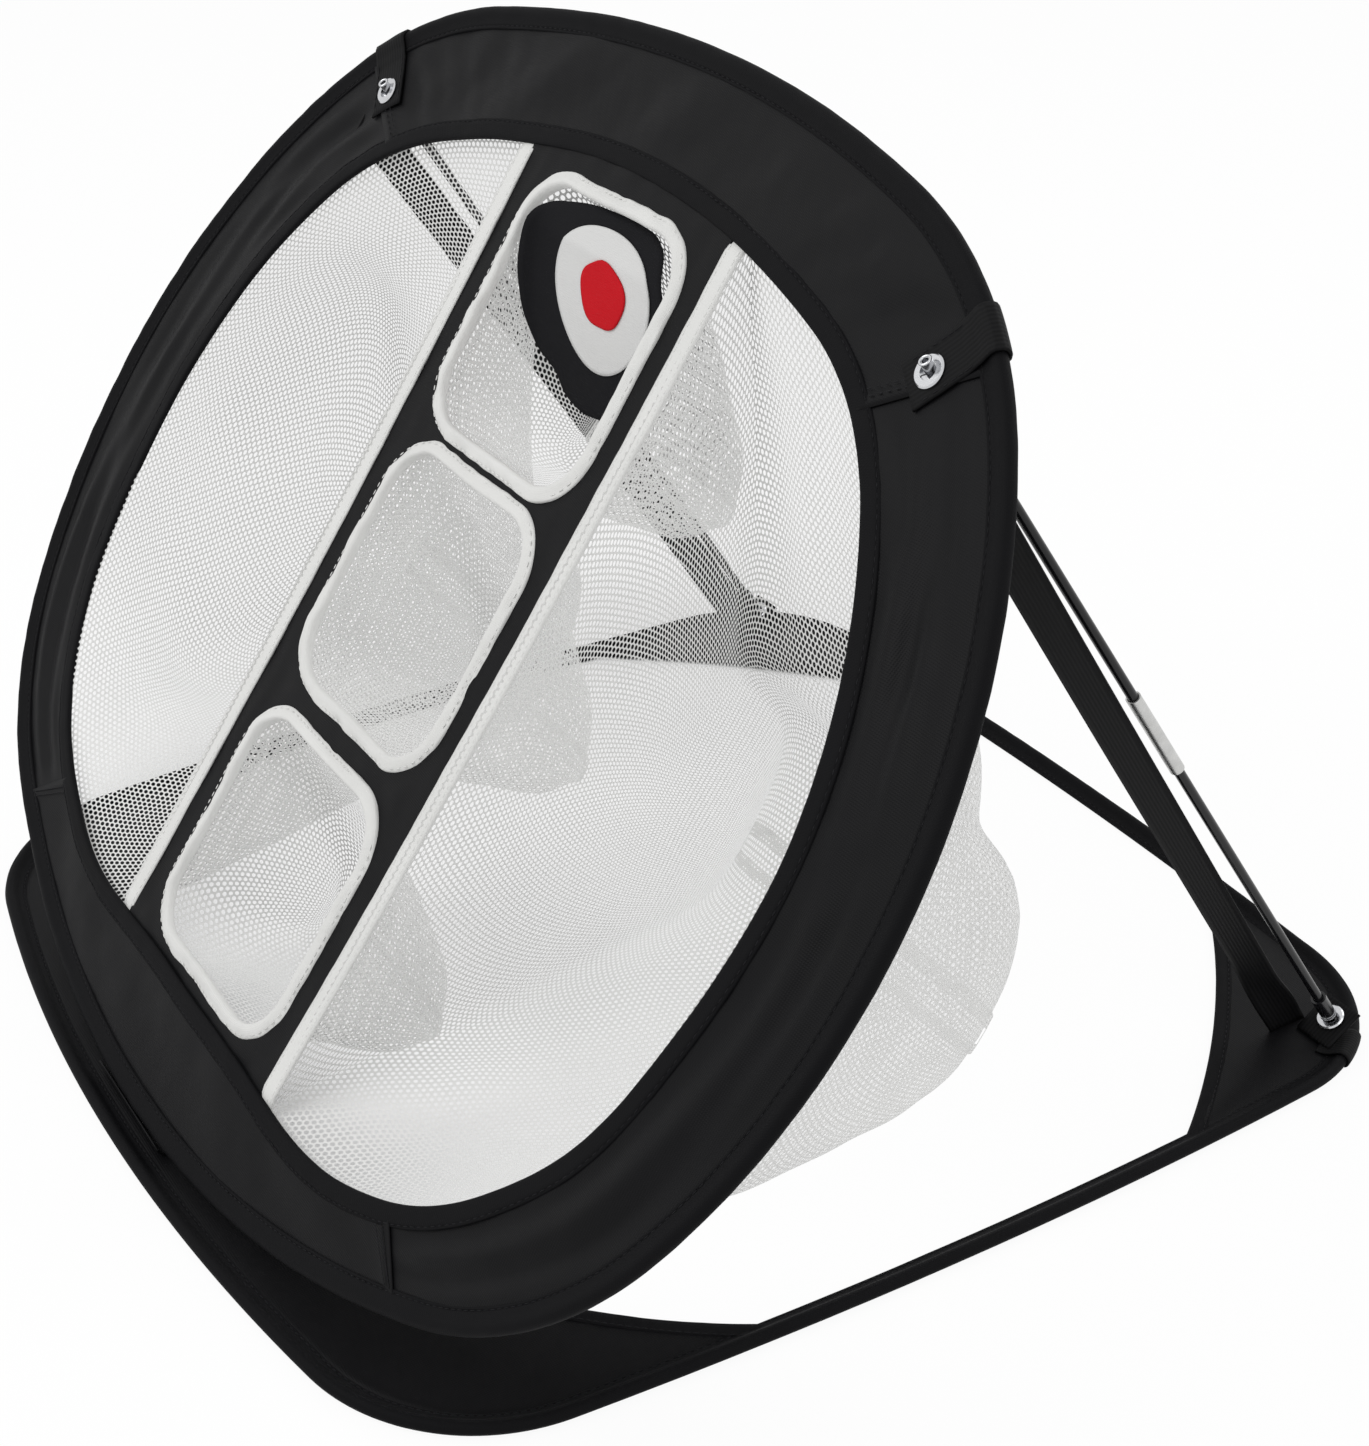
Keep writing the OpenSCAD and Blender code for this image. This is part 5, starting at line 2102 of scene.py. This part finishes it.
@dataclass
class Studio:
    """White floor and backdrop, soft lamps and the camera."""

    eye: tuple[float, float, float] = (0.84897, -0.51822, 0.72142)
    yaw: float = -1.02217
    pitch: float = -0.56956
    focal_share: float = 1.5243
    shift: Pair = (0.0308, 0.0573)
    sensor: float = 36.0
    aim: tuple[float, float, float] = (0, 0, 0.2)

    def camera(self) -> None:
        """The camera at the catalogue view."""
        data = bpy.data.cameras.new("catalogue_camera")
        data.sensor_width = self.sensor
        data.lens = self.focal_share * self.sensor
        data.shift_x, data.shift_y = self.shift
        data.clip_start, data.clip_end = 0.01, 50
        made = linked("catalogue_camera", data)
        made.location = self.eye
        made.rotation_euler = (math.pi / 2 + self.pitch, 0, -self.yaw)
        bpy.context.scene.camera = made

    def open_view(self, tree: bpy.types.NodeTree) -> bpy.types.NodeSocket:
        """A socket that is 1 where the backdrop is seen or mirrored, and 0 through a net and for light.

        Args:
            tree: the node tree that it is for.

        Returns:
            The socket.
        """
        rays = add_node(tree, "ShaderNodeLightPath").node.outputs
        first = {"operation": "LESS_THAN", 1: 0.5}
        clear = add_node(tree, "ShaderNodeMath", first, {0: rays["Transparent Depth"]})
        seen = rays["Is Camera Ray"]
        for ray in ("Is Glossy Ray", "Is Transmission Ray"):
            seen = add_node(tree, "ShaderNodeMath", {"operation": "MAXIMUM"}, {0: seen, 1: rays[ray]})
        return add_node(tree, "ShaderNodeMath", {"operation": "MULTIPLY"}, {0: seen, 1: clear})

    def floor(self) -> None:
        """A wide floor that shows white, darkened a little where the net's shadow falls."""
        bm = bmesh.new()
        bmesh.ops.create_grid(bm, x_segments=1, y_segments=1, size=12)
        mesh = bpy.data.meshes.new("studio_floor")
        bm.to_mesh(mesh)
        bm.free()
        made = linked("studio_floor", mesh)
        made.location.z = -0.4 * MM
        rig.stage(made)
        paint = bpy.data.materials.new("white_studio_paper")
        paint.use_nodes = True
        tree = paint.node_tree
        shader = tree.nodes["Principled BSDF"]
        fill(shader, {"Base Color": linear("#e9e9e9"), "Roughness": 0.9}, None)
        glow = add_node(tree, "ShaderNodeEmission", {"Color": (1, 1, 1, 1), "Strength": 1.0})
        nearly = {"operation": "MULTIPLY", 1: 0.93}
        seen = add_node(tree, "ShaderNodeMath", nearly, {0: self.open_view(tree)})
        paper = add_node(tree, "ShaderNodeMixShader", links={0: seen, 1: shader.outputs[0], 2: glow})
        fill(tree.nodes["Material Output"], None, {"Surface": paper})
        mesh.materials.append(paint)

    def world(self) -> None:
        """An even grey dome that shows white to the camera and to shiny metal."""
        world = bpy.data.worlds.new("studio_dome")
        bpy.context.scene.world = world
        world.use_nodes = True
        tree = world.node_tree
        dome = fill(tree.nodes["Background"], {"Strength": 0.76, "Color": (1, 1, 1, 1)}, None)
        white = add_node(tree, "ShaderNodeBackground", {"Color": (1, 1, 1, 1), "Strength": 1.0})
        sky = {0: self.open_view(tree), 1: dome.outputs[0], 2: white}
        shown = add_node(tree, "ShaderNodeMixShader", links=sky)
        fill(tree.nodes["World Output"], None, {"Surface": shown})

    def lamp(self, name: str, place: tuple[float, float, float], size: float, power: float) -> None:
        """A soft square lamp that looks at the middle of the net.

        Args:
            name: the lamp's name.
            place: where it stands.
            size: its edge in metres.
            power: its power in watts.
        """
        data = bpy.data.lights.new(name, "AREA")
        data.size = size
        data.energy = power
        made = linked(name, data)
        made.location = place
        towards = Vector(self.aim) - Vector(place)
        made.rotation_euler = towards.to_track_quat("-Z", "Y").to_euler()

    def build(self) -> None:
        """Sets up the whole studio."""
        self.camera()
        self.floor()
        self.world()
        self.lamp("key_softbox", (-0.6, -1.6, 2.0), 1.6, 26)
        self.lamp("fill_softbox", (2.2, 0.4, 1.4), 1.8, 12)
        self.lamp("back_softbox", (0.3, 2.0, 1.6), 1.4, 10)
        bpy.context.scene.view_settings.view_transform = "Standard"


def main() -> None:
    """Builds the net, piece by piece, and writes its size beside the frame's."""
    logging.basicConfig(level=logging.INFO, format="%(message)s")
    solid_low, solid_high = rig.bounds()
    parts = (FrontPanel(), CentreColumn(), Nets(), Target(), GroundFrame(), Fittings(), Studio())
    for part in parts:
        before = set(bpy.data.objects)
        part.build()
        made = sorted(o.name for o in set(bpy.data.objects) - before)
        LOG.info("%s: %s", type(part).__name__, ", ".join(made) or "finishes only")
    low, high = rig.bounds()
    sizes = {"cad": [list(solid_low), list(solid_high)], "visual": [list(low), list(high)]}
    with open("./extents.json", "w") as file:
        json.dump(sizes, file)


if __name__ == "__main__":
    main()
